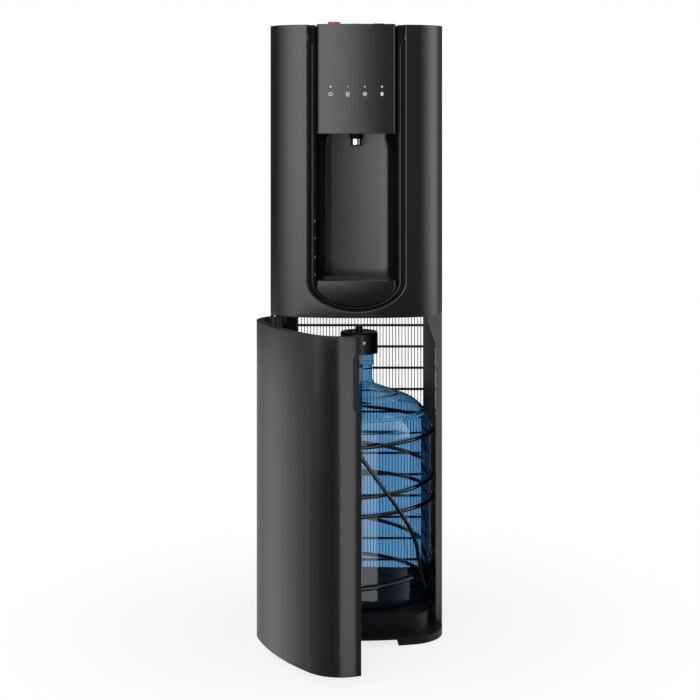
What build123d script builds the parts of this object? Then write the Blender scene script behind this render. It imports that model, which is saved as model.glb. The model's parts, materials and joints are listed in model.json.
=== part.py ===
"""Bottom load water cooler: a tall D-shaped cabinet with a recessed dispenser above and a
curved door, hinged on its left side and standing open, over the bottle bay below.

Millimetres, +Z up, the front faces -Y.  The origin is on the floor, under the middle of the
cabinet.  The plan of the whole cabinet is one outline: a wide nose arc, two corner arcs that
run into it, and straight sides.  Every front piece is that outline, drawn in by its inset.
"""
from build123d import *
from math import atan2, cos, hypot, pi, radians, sin, sqrt, tan
import os

os.makedirs("parts", exist_ok=True)

# ---------------------------------------------------------------- cabinet
BODY_W = 300.0          # width over the side panels
BODY_D = 340.0          # nose to the back of the condenser
BODY_H = 1059.0         # floor to the top rim
NOSE_R = 425.0          # plan radius of the front
CORNER_R = 66.8         # plan radius of the front corners
BACK_SPACE = 10.0       # depth kept behind the sheet metal for the condenser
SHEET = 1.2             # side panels and rear cover
WALL = 3.0              # moulded front pieces
THIN_WALL = 2.2         # moulded liners
FIT = 0.2               # gap between fixed pieces
RUN = 0.3               # gap between a moving piece and its seat
CUT = 1.0               # how far a cutting solid runs past what it cuts

# ---------------------------------------------------------------- bottle bay
BAY_TOP = 559.0         # underside of the upper body
BASE_LIP_H = 13.0       # skirt under the door
PLATFORM_H = 43.0       # floor that the bottle stands on
PLATFORM_RUN = 0.4      # platform clear of the door's turning heel
TOE_HALF_W = 69.0       # raised cut-out in the front of the skirt
TOE_H = 10.0
TOE_DEPTH = 60.0
BOTTOM_PLATE = 2.0
PILLAR_W = 11.0         # front pillars of the bay, seen from the front
GUSSET_W = 14.0         # corner gusset at the top of each pillar
GUSSET_H = 58.0
GUSSET_STRAIGHT = 18.0
FRONT_RETURN = 33.4     # front mouldings behind the corner's centre, up to the side panels
REAR_FLANGE_RIGHT = 23.0
REAR_FLANGE_LEFT = 36.0
FRONT_FLANGE = 16.0
DECK = 2.0

# ---------------------------------------------------------------- door
DOOR_OPEN = 61.6        # degrees open as it stands
HINGE_IN_X = 8.6        # hinge axis, in from the side
HINGE_IN_Y = 11.1       # and in front of the corner's centre
HINGE_PIN_R = 2.5
BUSH_R = 4.5
BUSH_L = 16.0
HINGE_BOSS_R = 7.0
PIN_RUN = 0.05
DOOR_GAP = 0.5          # door above its lower bracket
DOOR_TOP_GAP = 5.0
DOOR_SKIN = 3.0
DOOR_T = 12.0           # skin and liner together
LINER_WALL = 2.0
HINGE_PLATE = 2.0
DOOR_LAP = 1.0          # door edge behind the corner's centre
NOTCH_Z = 480.5         # middle of the pull notch
NOTCH_H = 91.0
NOTCH_D = 14.0          # notch in from the free edge
NOTCH_R = 9.0
CUP_D = 36.0            # pull cup behind the notch
MAGNET_T = 6.0
MAGNET_D = 5.0

# ---------------------------------------------------------------- upper front
CHANNEL_HALF_W = 83.4   # opening in the front, with a half-ellipse at its foot
CHANNEL_DROP = 51.5
ARCH_Z = 621.5          # where the half-ellipses spring
LEDGE_HALF_W = 71.0     # step inside the opening
LEDGE_DROP = 45.5
LEDGE_IN = 18.0         # ledge behind the nose
LEDGE_T = 2.5
RIM_SINK = 1.5
MOUTH_R = 2.0            # rounding of the front around the channel
HEAD_HALF_W = 67.0      # convex control head
HEAD_H = 186.0          # rim to its underside
HEAD_PROUD = 1.0        # its top above the rim
HEAD_TOP_D = 45.0
HEAD_EDGE_R = 7.0        # upright corners of the head and of the tray
HEAD_INNER_R = 2.0
HEAD_WALL = 2.5
NICHE_HALF_W = 68.6     # dispensing alcove
NICHE_DEPTH = 99.6      # its back behind the nose
NICHE_BACK_R = 450.0    # flat curve of its back
NICHE_CORNER_R = 28.0
TRAY_HALF_W = 68.0
TRAY_DROP = 42.5
TRAY_WALL = 2.2
TRAY_BARREL_R = 400.0    # upright curve of its front
GRILLE_T = 2.4
GRILLE_SLOTS = 9
GRILLE_SLOT_W = 4.0
NOZZLE_IN = 52.0
NOZZLE_R = 10.0
NOZZLE_BORE = 4.0
NOZZLE_DROP = 21.0      # nozzle's tip below the head

# ---------------------------------------------------------------- controls
BUTTON_PITCH = 37.8
BUTTON_IN = 17.0
BUTTON_R = 10.9
BUTTON_TRAVEL = 4.0
HOT_PROUD = 4.0         # hot button above the head
COOL_PROUD = 1.2        # the two others
STEM_R = 3.5
CARRIER_DROP = 27.0     # button carrier below the head's top
CARRIER_T = 3.0
SPRING_R = 5.6
SPRING_WIRE = 0.5
SPRING_TURNS = 5
LAMP_PITCH = 29.2
LAMP_DROP = 106.0       # lamps below the rim
LAMP_R = 1.6
BOARD_T = 1.6

# ---------------------------------------------------------------- condenser
TUBE_R = 2.38
RUN_PITCH = 40.6
RUNS = 18
RUN_Z = 56.0            # lowest run
RUN_LEFT = -115.0
RUN_RIGHT = 127.0
WIRE_R = 0.75
WIRE_PITCH = 6.0
RISER_X = -142.0
TAIL_BEND = 8.0
TAIL_IN = 30.0          # tail's end in front of the condenser
CLIP_H = 8.0

# ---------------------------------------------------------------- rear panel
INLET_X = -84.0
INLET_DROP = 59.0       # below the rim
INLET_PIN_W = 2.0
INLET_PIN_H = 4.0
VENT_ROWS = 4
VENT_COLUMNS = 9
VENT_PITCH_X = 24.0
VENT_PITCH_Z = 34.0
VENT_W = 16.0
VENT_H = 6.0
VENT_RISE = 39.0        # lowest vents above the deck
ROCKER_X = (-38.0, -8.0)
ROCKER_DROP = 47.0
ROCKER_W = 13.0
ROCKER_H = 19.0
ROCKER_THROW = 7.0      # degrees each way; it stands tipped over at its top
ROCKER_PIN_R = 1.5
ROCKER_PIN_IN = 4.0     # pin behind the housing's face
SCREW_IN = 6.0

# ---------------------------------------------------------------- bottle and hose
BOTTLE_X = 5.0
BOTTLE_Y = 8.0
BOTTLE_R = 130.0
BOTTLE_WALL = 1.6
BOTTLE_NECK_R = 27.0
BOTTLE_BODY_H = 307.0   # foot to the shoulder
BOTTLE_NECK_H = 377.0   # foot to the neck
BOTTLE_H = 462.0        # foot to the mouth
CAP_R = 34.0
CAP_SKIRT = 31.0        # cap below the mouth
CAP_OVER = 8.0          # and above it
CAP_END = 3.0
STUB_R = 6.5
STUB_H = 9.5
PROBE_R = 6.0
PROBE_WALL = 1.5
BARB_DROP = 15.0        # below the mouth
BARB_L = 12.0
VALVE_DROP = 9.0        # air valve below the mouth
HOSE_R = 3.5
HOSE_OFF = 1.2          # hose clear of the bottle
HOSE_TOP_X = -105.0     # hose fitting in the deck
HOSE_TOP_Y = -90.0
FITTING_R = 9.0
LOOP_START = 180        # the first quarter turn is at the back
LOOP_HEIGHTS = [        # hose at each quarter turn: back, right, front, left
    357, 342, 329, 308,
    284, 262, 243, 238,
    230, 221, 209, 178,
    144, 110, 84, 78,
    74,
]

# ---------------------------------------------------------------- machinery
SHELF_RISE = 217.0      # tank shelf above the deck
SHELF_T = 1.5
SHELF_LIP = 14.0
TANK_HEADROOM = 59.5    # cold tank's lid below the rim
COLD_X = 58.0
COLD_IN = 98.0          # tank centres in front of the back
COLD_FOAM_R = 85.0
COLD_TANK_R = 61.0
HOT_X = -88.0
HOT_IN = 85.0
HOT_FOAM_R = 50.0
HOT_TANK_R = 41.0
HOT_SHORT = 40.0        # hot tank's lid below the cold tank's
FOAM_END = 14.0
TANK_WALL = 1.0
TANK_EDGE = 6.0
COIL_R = 65.0
COIL_TUBE_R = 3.0
COIL_PITCH = 16.0
COIL_IN = 22.0          # coil inside the tank's ends
CAPILLARY_Y = -50.0
SUCTION_IN = 11.0
PUMP_X, PUMP_Y = -85.0, 0.0
PUMP_W = 50.0
PUMP_D = 60.0
PUMP_H = 42.0
PUMP_FOOT = 3.0
PUMP_STUB = 6.0
PUMP_INLET_L = 8.0
DRIER_IN = 40.0
DRIER_RISE = 39.0
DRIER_H = 100.0
DRIER_R = 6.0
COMP_X = 50.0
COMP_IN = 100.0
COMP_R = 62.0
COMP_H = 156.0
COMP_PLATE_W = 132.0
COMP_PLATE_D = 116.0
COMP_FEET_X = 108.0
COMP_FEET_Y = 92.0
GROMMET_H = 12.0
LINE_R = 4.0            # water lines
LINE_BEND = 12.0
VALVE_PITCH = 36.0
VALVE_W = 22.0
VALVE_H = 36.0
VALVE_CAN_R = 9.0
VALVE_CAN_H = 20.0
VALVE_BACK = 15.0       # valves behind the nozzle
VALVE_INLET = 30.0      # inlet above the valve's foot
MANIFOLD_H = 18.0
BOX_T = 22.0            # supply housing
BOX_FRONT = -34.0
BOX_BACK = 40.0
BOX_H = 140.0

# ---------------------------------------------------------------- derived places
HALF_W = BODY_W / 2
NOSE_Y = -BODY_D / 2
REAR_Y = BODY_D / 2
BACK_Y = REAR_Y - BACK_SPACE
NOSE_CY = NOSE_Y + NOSE_R
CORNER_X = HALF_W - CORNER_R
CORNER_Y = NOSE_CY - sqrt((NOSE_R - CORNER_R) ** 2 - CORNER_X ** 2)
CORNER_TURN = atan2(CORNER_X, NOSE_CY - CORNER_Y)
FRONT_JOIN_Y = CORNER_Y + FRONT_RETURN
DOOR_BACK_Y = CORNER_Y + DOOR_LAP
HINGE_X = -HALF_W + HINGE_IN_X
HINGE_Y = CORNER_Y - HINGE_IN_Y
DOOR_Z0 = BASE_LIP_H + HINGE_PLATE + DOOR_GAP
DOOR_Z1 = BAY_TOP - DOOR_TOP_GAP
SWEEP_R = hypot(HINGE_IN_X, HINGE_IN_Y + DOOR_LAP) + RUN
PILLAR_FRONT_Y = HINGE_Y + SWEEP_R
PLATFORM_INSET = HINGE_IN_X + SWEEP_R + PLATFORM_RUN
INNER_X = HALF_W - SHEET
HEAD_TOP = BODY_H + HEAD_PROUD
LEDGE_Y = NOSE_Y + LEDGE_IN
LEDGE_BACK = LEDGE_Y + LEDGE_T
HEAD_Z = BODY_H - HEAD_H
HEAD_TOP_BACK = NOSE_Y + HEAD_TOP_D
LAMP_Z = BODY_H - LAMP_DROP
TRAY_TOP = ARCH_Z + 0.5
NICHE_BACK_Y = NOSE_Y + NICHE_DEPTH
NICHE_TOP = HEAD_Z + WALL
NOZZLE_Y = NOSE_Y + NOZZLE_IN
BUTTON_Y = NOSE_Y + BUTTON_IN
CONDENSER_Y = BACK_Y + WIRE_R * 2 + TUBE_R + 2 * FIT
CARRIER_TOP = HEAD_TOP - CARRIER_DROP
COVER_FACE = BACK_Y - SHEET          # inner face of the rear flanges
BAY_FLOOR = BAY_TOP + DECK
TANK_SHELF_Z = BAY_FLOOR + SHELF_RISE
SHELF_TOP = TANK_SHELF_Z + SHELF_T
COLD_Y = BACK_Y - COLD_IN
COLD_H = BODY_H - TANK_HEADROOM - SHELF_TOP
HOT_Y = BACK_Y - HOT_IN
HOT_H = COLD_H - HOT_SHORT
COIL_Z = SHELF_TOP + FOAM_END + COIL_IN
COIL_TAIL_X = COLD_X + COIL_R
COIL_TURNS = int((COLD_H - 2 * FOAM_END - 2 * COIL_IN) / COIL_PITCH)
COIL_TOP = COIL_Z + COIL_PITCH * COIL_TURNS
COMP_Y = BACK_Y - COMP_IN
COMP_FOOT_Z = BAY_FLOOR + GROMMET_H + 4.0
PUMP_INLET_Z = BAY_FLOOR + 28.0
PUMP_INLET_Y = PUMP_Y - PUMP_D / 2 - PUMP_INLET_L
VALVE_FOOT = NICHE_TOP + 4.0 + MANIFOLD_H
VALVE_Y = NOZZLE_Y + VALVE_BACK
VALVE_Z = VALVE_FOOT + VALVE_INLET
DRIER_Y = BACK_Y - DRIER_IN
DRIER_Z = BAY_FLOOR + DRIER_RISE
SUCTION_Y = BACK_Y - SUCTION_IN
DRAIN_Z = SHELF_TOP + FOAM_END + 12.0
DISCHARGE_Z = COMP_FOOT_Z + 70.0
RUN_TOP = RUN_Z + RUN_PITCH * (RUNS - 1)
RISER_TOP = DRIER_Z + DRIER_H + 14.0
TUBE_HOLE_R = TUBE_R + 1.5
TAIL_X = RUN_LEFT - TAIL_BEND
TAIL_END_Y = CONDENSER_Y - TAIL_IN
BOTTLE_BODY_TOP = PLATFORM_H + BOTTLE_BODY_H
BOTTLE_NECK_Z = PLATFORM_H + BOTTLE_NECK_H
BOTTLE_MOUTH_Z = PLATFORM_H + BOTTLE_H
CAP_FOOT_Z = BOTTLE_MOUTH_Z - CAP_SKIRT
CAP_TOP_Z = BOTTLE_MOUTH_Z + CAP_OVER
BARB_X = BOTTLE_X - CAP_R - BARB_L
BARB_Z = BOTTLE_MOUTH_Z - BARB_DROP
VENT_Z = BOTTLE_MOUTH_Z - VALVE_DROP
INLET_Z = BODY_H - INLET_DROP
ROCKER_Z = BODY_H - ROCKER_DROP
ROCKER_FACE = COVER_FACE + 2


# ---------------------------------------------------------------- shapes
def slab(x0, x1, y0, y1, z0, z1):
    """Block between two opposite corners."""
    return Pos((x0 + x1) / 2, (y0 + y1) / 2, (z0 + z1) / 2) * Box(x1 - x0, y1 - y0, z1 - z0)


def post(x, y, z0, z1, radius):
    """Upright cylinder."""
    return Pos(x, y, (z0 + z1) / 2) * Cylinder(radius, z1 - z0)


def rod_y(x, z, y0, y1, radius):
    """Cylinder lying front to back."""
    return Pos(x, (y0 + y1) / 2, z) * Rot(X=90) * Cylinder(radius, y1 - y0)


def rod_x(y, z, x0, x1, radius):
    """Cylinder lying side to side."""
    return Pos((x0 + x1) / 2, y, z) * Rot(Y=90) * Cylinder(radius, x1 - x0)


def ring(x, y, z0, z1, outer, inner):
    """Upright tube."""
    return post(x, y, z0, z1, outer) - post(x, y, z0 - CUT, z1 + CUT, inner)


def outline(inset, back_y):
    """The cabinet's plan drawn in by inset, closed by a straight back."""
    nose = NOSE_R - inset
    corner = CORNER_R - inset
    side = HALF_W - inset
    half = (CORNER_TURN + pi / 2) / 2
    join = (nose * sin(CORNER_TURN), NOSE_CY - nose * cos(CORNER_TURN))
    bend = (CORNER_X + corner * sin(half), CORNER_Y - corner * cos(half))
    edges = [
        Line((side, back_y), (side, CORNER_Y)),
        ThreePointArc((side, CORNER_Y), bend, join),
        ThreePointArc(join, (0, NOSE_Y + inset), (-join[0], join[1])),
        ThreePointArc((-join[0], join[1]), (-bend[0], bend[1]), (-side, CORNER_Y)),
        Line((-side, CORNER_Y), (-side, back_y)),
        Line((-side, back_y), (side, back_y)),
    ]
    return make_face(edges)


def body(inset, back_y, z0, z1):
    """The plan outline raised from z0 to z1."""
    straight = max(back_y, CORNER_Y + CUT)
    block = Pos(0, 0, z0) * extrude(outline(inset, straight), amount=z1 - z0)
    if straight > back_y:
        block &= slab(-HALF_W, HALF_W, NOSE_Y - CUT, back_y, z0, z1)
    return block


def wrap(outer, inner, back_y, z0, z1):
    """Curved wall between two insets, open at the back."""
    return body(outer, back_y, z0, z1) - body(inner, back_y + CUT, z0 - CUT, z1 + CUT)


def arch(half_w, drop, z1, y0, y1):
    """Front view of the channel: straight sides up to z1, a half-ellipse below ARCH_Z."""
    foot = Pos(0, ARCH_Z) * Ellipse(half_w, drop)
    foot &= Pos(0, ARCH_Z - drop) * Rectangle(4 * half_w, 2 * drop)
    sides = Pos(0, (ARCH_Z + z1) / 2) * Rectangle(2 * half_w, z1 - ARCH_Z)
    return Pos(0, y1, 0) * extrude(Plane.XZ * (foot + sides), amount=y1 - y0)


def niche(half, y0, z0, z1):
    """Alcove of a half width: straight sides, rounded corners and a flat curve at the back."""
    back_y, bow, turn = niche_back(half)[:3]
    plan = Pos(0, (y0 + back_y + CUT) / 2) * Rectangle(2 * half, back_y + CUT - y0)
    plan &= Pos(0, back_y - bow) * Circle(bow)
    plan = fillet(plan.vertices().group_by(Axis.Y)[-1], turn)
    return Pos(0, 0, z0) * extrude(plan, amount=z1 - z0)


def niche_back(half):
    """Back, back's radius, corner's radius and its centre for an alcove of a half width."""
    out = half - NICHE_HALF_W
    back_y, bow, turn = NICHE_BACK_Y + out, NICHE_BACK_R + out, NICHE_CORNER_R + out
    turn_x = half - turn
    return back_y, bow, turn, turn_x, back_y - bow + sqrt((bow - turn) ** 2 - turn_x ** 2)


def tube(path, radius):
    """Round bar along a path."""
    mouth = Plane(origin=path @ 0, z_dir=path % 0)
    return sweep(mouth * Circle(radius), path=path)


def pipe(points, bend, radius):
    """Round bar through points, each corner rounded to one bend radius."""
    return tube(FilletPolyline(*points, radius=bend), radius)


def biarc(start, start_dir, end, end_dir):
    """Two arcs that leave start and reach end in the given directions."""
    span = end - start
    both = start_dir + end_dir
    twist = 2 * (1 - start_dir.dot(end_dir))
    along = span.dot(both)
    if twist < 1e-6:
        reach = span.dot(span) / (4 * span.dot(end_dir))
    else:
        reach = (sqrt(along ** 2 + twist * span.dot(span)) - along) / twist
    before = start + start_dir * reach
    after = end - end_dir * reach
    middle = (before + after) * 0.5
    return [TangentArc(start, middle, tangent=start_dir),
            TangentArc(middle, end, tangent=(after - before).normalized())]


def smooth(points, first_dir, last_dir):
    """Biarcs through the points; inside, each direction is that of the circle through three."""
    points = [Vector(*p) for p in points]
    dirs = [Vector(*first_dir).normalized()]
    for before, here, after in zip(points, points[1:], points[2:]):
        back = here - before
        ahead = after - here
        turn = back.normalized() * ahead.length + ahead.normalized() * back.length
        dirs.append(turn.normalized())
    dirs.append(Vector(*last_dir).normalized())
    edges = []
    for i in range(len(points) - 1):
        edges += biarc(points[i], dirs[i], points[i + 1], dirs[i + 1])
    return edges


def helix(x, y, z0, radius, pitch, turns):
    """Climbing loops, a biarc for each quarter turn, from the side towards +X."""
    slope = pitch / (2 * pi * radius)
    spots = []
    dirs = []
    for i in range(4 * turns + 1):
        a = i * pi / 2
        spots.append(Vector(x + radius * cos(a), y + radius * sin(a), z0 + pitch * i / 4))
        dirs.append(Vector(-sin(a), cos(a), slope).normalized())
    edges = []
    for i in range(4 * turns):
        edges += biarc(spots[i], dirs[i], spots[i + 1], dirs[i + 1])
    return edges


def samples(edges, step):
    """Points along the edges, about one per step."""
    found = []
    for edge in edges:
        count = max(2, int(edge.length / step))
        found += [edge @ (i / count) for i in range(count)]
    return found


def least_gap(points, diameter, reach, step):
    """Least distance between stretches of a tube that are more than reach apart along it."""
    skip = int(reach / step)
    cells = {}
    size = 4 * diameter
    for i, p in enumerate(points):
        cells.setdefault((int(p.X // size), int(p.Y // size), int(p.Z // size)), []).append(i)
    least = size
    for (cx, cy, cz), members in cells.items():
        near = []
        for dx in (-1, 0, 1):
            for dy in (-1, 0, 1):
                for dz in (-1, 0, 1):
                    near += cells.get((cx + dx, cy + dy, cz + dz), [])
        for i in members:
            for j in near:
                if j - i > skip:
                    least = min(least, (points[j] - points[i]).length)
    return least - diameter


def swung(shape):
    """A closed door piece, turned open about the hinge."""
    return (Pos(HINGE_X, HINGE_Y, 0) * Rot(Z=-DOOR_OPEN) * Pos(-HINGE_X, -HINGE_Y, 0)) * shape


# ---------------------------------------------------------------- base and cabinet
def base_pan():
    """Skirt on the floor, a raised platform for the bottle, open underneath."""
    shell = body(0, BACK_Y, 0, BASE_LIP_H)
    shell += body(PLATFORM_INSET, BACK_Y - WALL, 0, PLATFORM_H)
    shell += slab(-INNER_X + FIT, INNER_X - FIT, FRONT_JOIN_Y + FIT, COVER_FACE - FIT,
                  0, PLATFORM_H)
    hollow = body(WALL, BACK_Y - WALL, -CUT, BASE_LIP_H - WALL)
    hollow += body(PLATFORM_INSET + WALL, BACK_Y - 2 * WALL, -CUT, PLATFORM_H - WALL)
    toe = slab(-TOE_HALF_W - WALL, TOE_HALF_W + WALL, NOSE_Y - CUT, NOSE_Y + TOE_DEPTH + WALL,
               -CUT, BASE_LIP_H)
    shell -= hollow - toe
    profile = Polyline((-TOE_HALF_W - TOE_H / 3, -CUT), (-TOE_HALF_W, TOE_H), (TOE_HALF_W, TOE_H),
                       (TOE_HALF_W + TOE_H / 3, -CUT), close=True)
    notch = Pos(0, NOSE_Y + TOE_DEPTH, 0) * extrude(Plane.XZ * make_face(profile),
                                                    amount=TOE_DEPTH + CUT)
    shell -= notch
    rebate = body(WALL + FIT, BACK_Y - WALL - FIT, -CUT, BOTTOM_PLATE)
    rebate &= slab(-HALF_W, HALF_W, NOSE_Y + TOE_DEPTH + WALL, REAR_Y, -CUT, BOTTOM_PLATE)
    return shell - rebate


def bottom_plate():
    """Steel plate let into the underside; its face is the cabinet's footing."""
    plate = body(WALL + 2 * FIT, BACK_Y - WALL - 2 * FIT, 0, BOTTOM_PLATE)
    return plate & slab(-HALF_W, HALF_W, NOSE_Y + TOE_DEPTH + WALL + FIT, REAR_Y, 0, BOTTOM_PLATE)


def side_panel(side, rear_flange):
    """Painted sheet, folded in at its front and back edges."""
    front_y = FRONT_JOIN_Y + FIT
    z0 = BASE_LIP_H + FIT
    sheet = slab(INNER_X, HALF_W, front_y, BACK_Y, z0, BODY_H)
    sheet += slab(HALF_W - rear_flange, INNER_X, COVER_FACE, BACK_Y, z0, BODY_H)
    sheet += slab(HALF_W - FRONT_FLANGE, INNER_X, front_y, front_y + SHEET, BAY_FLOOR + FIT,
                  BODY_H - 8)
    if side < 0:
        sheet = mirror(sheet, about=Plane.YZ)
        sheet -= rod_y(RISER_X, RISER_TOP, COVER_FACE - CUT, BACK_Y + CUT, TUBE_HOLE_R)
        sheet -= rod_y(TAIL_X, RUN_TOP, COVER_FACE - CUT, BACK_Y + CUT, TUBE_HOLE_R)
    return sheet


def front_pillar(side):
    """Moulded post beside the bay, with a gusset under the upper body."""
    y0 = PILLAR_FRONT_Y
    z0 = BASE_LIP_H
    pillar = slab(HALF_W - PILLAR_W, HALF_W, y0, FRONT_JOIN_Y, z0, BAY_TOP)
    edge = HALF_W - PILLAR_W
    corner = Polyline((edge + CUT, BAY_TOP), (edge - GUSSET_W, BAY_TOP),
                      (edge - GUSSET_W, BAY_TOP - GUSSET_STRAIGHT), (edge, BAY_TOP - GUSSET_H),
                      (edge + CUT, BAY_TOP - GUSSET_H), close=True)
    gusset = Pos(0, FRONT_JOIN_Y, 0) * extrude(Plane.XZ * make_face(corner),
                                               amount=FRONT_JOIN_Y - y0)
    pillar += gusset
    pillar -= slab(HALF_W - PILLAR_W + WALL, HALF_W - WALL, y0 + WALL, FRONT_JOIN_Y + CUT,
                   z0 + WALL, BAY_TOP - WALL)
    if side < 0:
        pillar = mirror(pillar, about=Plane.YZ)
    return pillar


def mid_deck():
    """Steel deck that closes the bay above and carries the machinery."""
    deck = body(WALL + FIT, COVER_FACE - 2 * SHEET, BAY_TOP, BAY_FLOOR)
    deck -= post(HOSE_TOP_X, HOSE_TOP_Y, BAY_TOP - CUT, BAY_FLOOR + CUT, FITTING_R)
    deck -= post(HINGE_X, HINGE_Y, BAY_TOP - CUT, BAY_FLOOR + CUT, HINGE_PIN_R)
    return deck


def hinge_brackets():
    """A plate on the skirt and one under the deck, each with a pin into the door."""
    edge = -HALF_W + PLATFORM_INSET - FIT
    low = slab(HINGE_X - 7, edge, HINGE_Y - 7, HINGE_Y + 8, BASE_LIP_H, BASE_LIP_H + HINGE_PLATE)
    low &= body(1, BACK_Y, 0, BODY_H)
    low += post(HINGE_X, HINGE_Y, BASE_LIP_H, DOOR_Z0 + BUSH_L, HINGE_PIN_R)
    high = slab(HINGE_X - 7, HINGE_X + 22, HINGE_Y - 7, HINGE_Y + 8, BAY_TOP - HINGE_PLATE,
                BAY_TOP)
    high &= body(WALL + FIT, BACK_Y, 0, BODY_H)
    high += post(HINGE_X, HINGE_Y, DOOR_Z1 - BUSH_L, BAY_FLOOR, HINGE_PIN_R)
    return [low, high]


# ---------------------------------------------------------------- door, drawn closed
def door_slice(outer, inner, z0, z1):
    """Curved door wall between two insets."""
    return wrap(outer, inner, DOOR_BACK_Y, z0, z1)


def free_edge_block(depth, z0, z1):
    """Space at the door's free edge, depth measured back from the edge."""
    return slab(HALF_W / 2, HALF_W + CUT, DOOR_BACK_Y - depth, DOOR_BACK_Y + CUT, z0, z1)


def door_skin():
    """Outer curved skin, with the pull notch in its free edge."""
    skin = door_slice(0, DOOR_SKIN, DOOR_Z0, DOOR_Z1)
    notch = Pos(DOOR_BACK_Y, NOTCH_Z) * Rectangle(2 * NOTCH_D, NOTCH_H)
    notch = fillet(notch.vertices(), NOTCH_R)
    return skin - Pos(HALF_W / 2, 0, 0) * extrude(Plane.YZ * notch, amount=HALF_W)


def pull_cup():
    """Cup behind the notch: fingers hook in behind the skin's edge."""
    z0 = NOTCH_Z - NOTCH_H / 2
    z1 = NOTCH_Z + NOTCH_H / 2
    block = door_slice(DOOR_SKIN, DOOR_T, z0 - LINER_WALL, z1 + LINER_WALL)
    block &= free_edge_block(CUP_D, z0 - LINER_WALL, z1 + LINER_WALL)
    hollow = wrap(DOOR_SKIN - CUT, DOOR_T - LINER_WALL, DOOR_BACK_Y + CUT, z0, z1)
    hollow &= free_edge_block(CUP_D - LINER_WALL, z0, z1)
    return block - hollow


def door_liner():
    """Inner moulding: a face wall, flanges out to the skin and two hinge bosses."""
    blank = door_slice(DOOR_SKIN, DOOR_T, DOOR_Z0, DOOR_Z1)
    hollow = wrap(DOOR_SKIN - CUT, DOOR_T - LINER_WALL, DOOR_BACK_Y - LINER_WALL,
                  DOOR_Z0 + LINER_WALL, DOOR_Z1 - LINER_WALL)
    blank -= hollow
    low = post(HINGE_X, HINGE_Y, DOOR_Z0, DOOR_Z0 + BUSH_L, HINGE_BOSS_R)
    high = post(HINGE_X, HINGE_Y, DOOR_Z1 - BUSH_L, DOOR_Z1, HINGE_BOSS_R)
    blank += (low + high) & body(DOOR_SKIN, DOOR_BACK_Y, DOOR_Z0, DOOR_Z1)
    blank -= post(HINGE_X, HINGE_Y, DOOR_Z0 - CUT, DOOR_Z1 + CUT, BUSH_R)
    z0 = NOTCH_Z - NOTCH_H / 2 - LINER_WALL - FIT
    z1 = NOTCH_Z + NOTCH_H / 2 + LINER_WALL + FIT
    blank -= free_edge_block(CUP_D + FIT, z0, z1)
    blank -= magnet_block(FIT)
    return blank


def magnet_block(grow):
    """Catch magnet's place in the door's free edge, above the pull cup."""
    z1 = DOOR_Z1 - LINER_WALL - 2 * FIT
    z0 = NOTCH_Z + NOTCH_H / 2 + LINER_WALL + 4 * FIT
    x1 = HALF_W - DOOR_SKIN - 2.4
    return slab(x1 - MAGNET_T - grow, x1 + grow, DOOR_BACK_Y - MAGNET_D - grow,
                DOOR_BACK_Y + CUT * (grow > 0), z0 - grow, z1 + grow)


def bushes():
    """Plastic bushes in the door's two hinge bosses."""
    low = ring(HINGE_X, HINGE_Y, DOOR_Z0, DOOR_Z0 + BUSH_L, BUSH_R, HINGE_PIN_R + PIN_RUN)
    high = ring(HINGE_X, HINGE_Y, DOOR_Z1 - BUSH_L, DOOR_Z1, BUSH_R, HINGE_PIN_R + PIN_RUN)
    return low + high


# ---------------------------------------------------------------- upper front
def upper_fascia():
    """Curved front of the upper body around the channel."""
    shell = wrap(0, WALL, FRONT_JOIN_Y, BAY_TOP, BODY_H)
    shell -= arch(CHANNEL_HALF_W, CHANNEL_DROP, BODY_H + CUT, NOSE_Y - CUT, LEDGE_BACK)
    mouth = [e for e in shell.edges() if on_nose(e) and e.bounding_box().max.Z > BAY_TOP + WALL
             and e.bounding_box().min.Z < BODY_H - WALL]
    return fillet(mouth, MOUTH_R)


def on_nose(edge):
    """True for an edge of the channel's mouth that lies on the outer surface."""
    points = [edge @ t for t in (0.1, 0.5, 0.9)]
    return all(abs(hypot(p.X, p.Y - NOSE_CY) - NOSE_R) < 0.01 and abs(p.X) < CHANNEL_HALF_W + CUT
               for p in points)


def channel_bezel():
    """Dark stepped lining of the channel: a rim wall and a ledge that faces forward."""
    half = CHANNEL_HALF_W - FIT
    drop = CHANNEL_DROP - FIT
    top = BODY_H - FIT
    rim = arch(half, drop, top, NOSE_Y, LEDGE_BACK)
    rim &= body(RIM_SINK, REAR_Y, BAY_TOP, BODY_H)
    rim -= arch(half - THIN_WALL, drop - THIN_WALL, top + CUT, NOSE_Y - CUT, LEDGE_Y)
    return rim - arch(LEDGE_HALF_W, LEDGE_DROP, top + CUT, NOSE_Y - CUT, LEDGE_BACK + CUT)


def alcove_liner():
    """Curved back wall of the alcove, closed below by a scooped floor."""
    outer = niche(NICHE_HALF_W + THIN_WALL, LEDGE_BACK + FIT, ARCH_Z - CHANNEL_DROP, NICHE_TOP)
    outer &= arch(NICHE_HALF_W + THIN_WALL, TRAY_DROP + RUN + THIN_WALL, NICHE_TOP + CUT,
                  NOSE_Y, 0)
    inner = niche(NICHE_HALF_W, LEDGE_BACK - CUT, ARCH_Z - CHANNEL_DROP, NICHE_TOP + CUT)
    inner &= arch(NICHE_HALF_W, TRAY_DROP + RUN, NICHE_TOP + 2 * CUT, NOSE_Y - CUT, 0)
    return outer - inner


def nozzle_plate():
    """Roof of the alcove, with the hole for the nozzle."""
    plate = niche(NICHE_HALF_W - FIT, LEDGE_BACK + FIT, HEAD_Z, NICHE_TOP)
    return plate - post(0, NOZZLE_Y, HEAD_Z - CUT, NICHE_TOP + CUT, NOZZLE_R)


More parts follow.
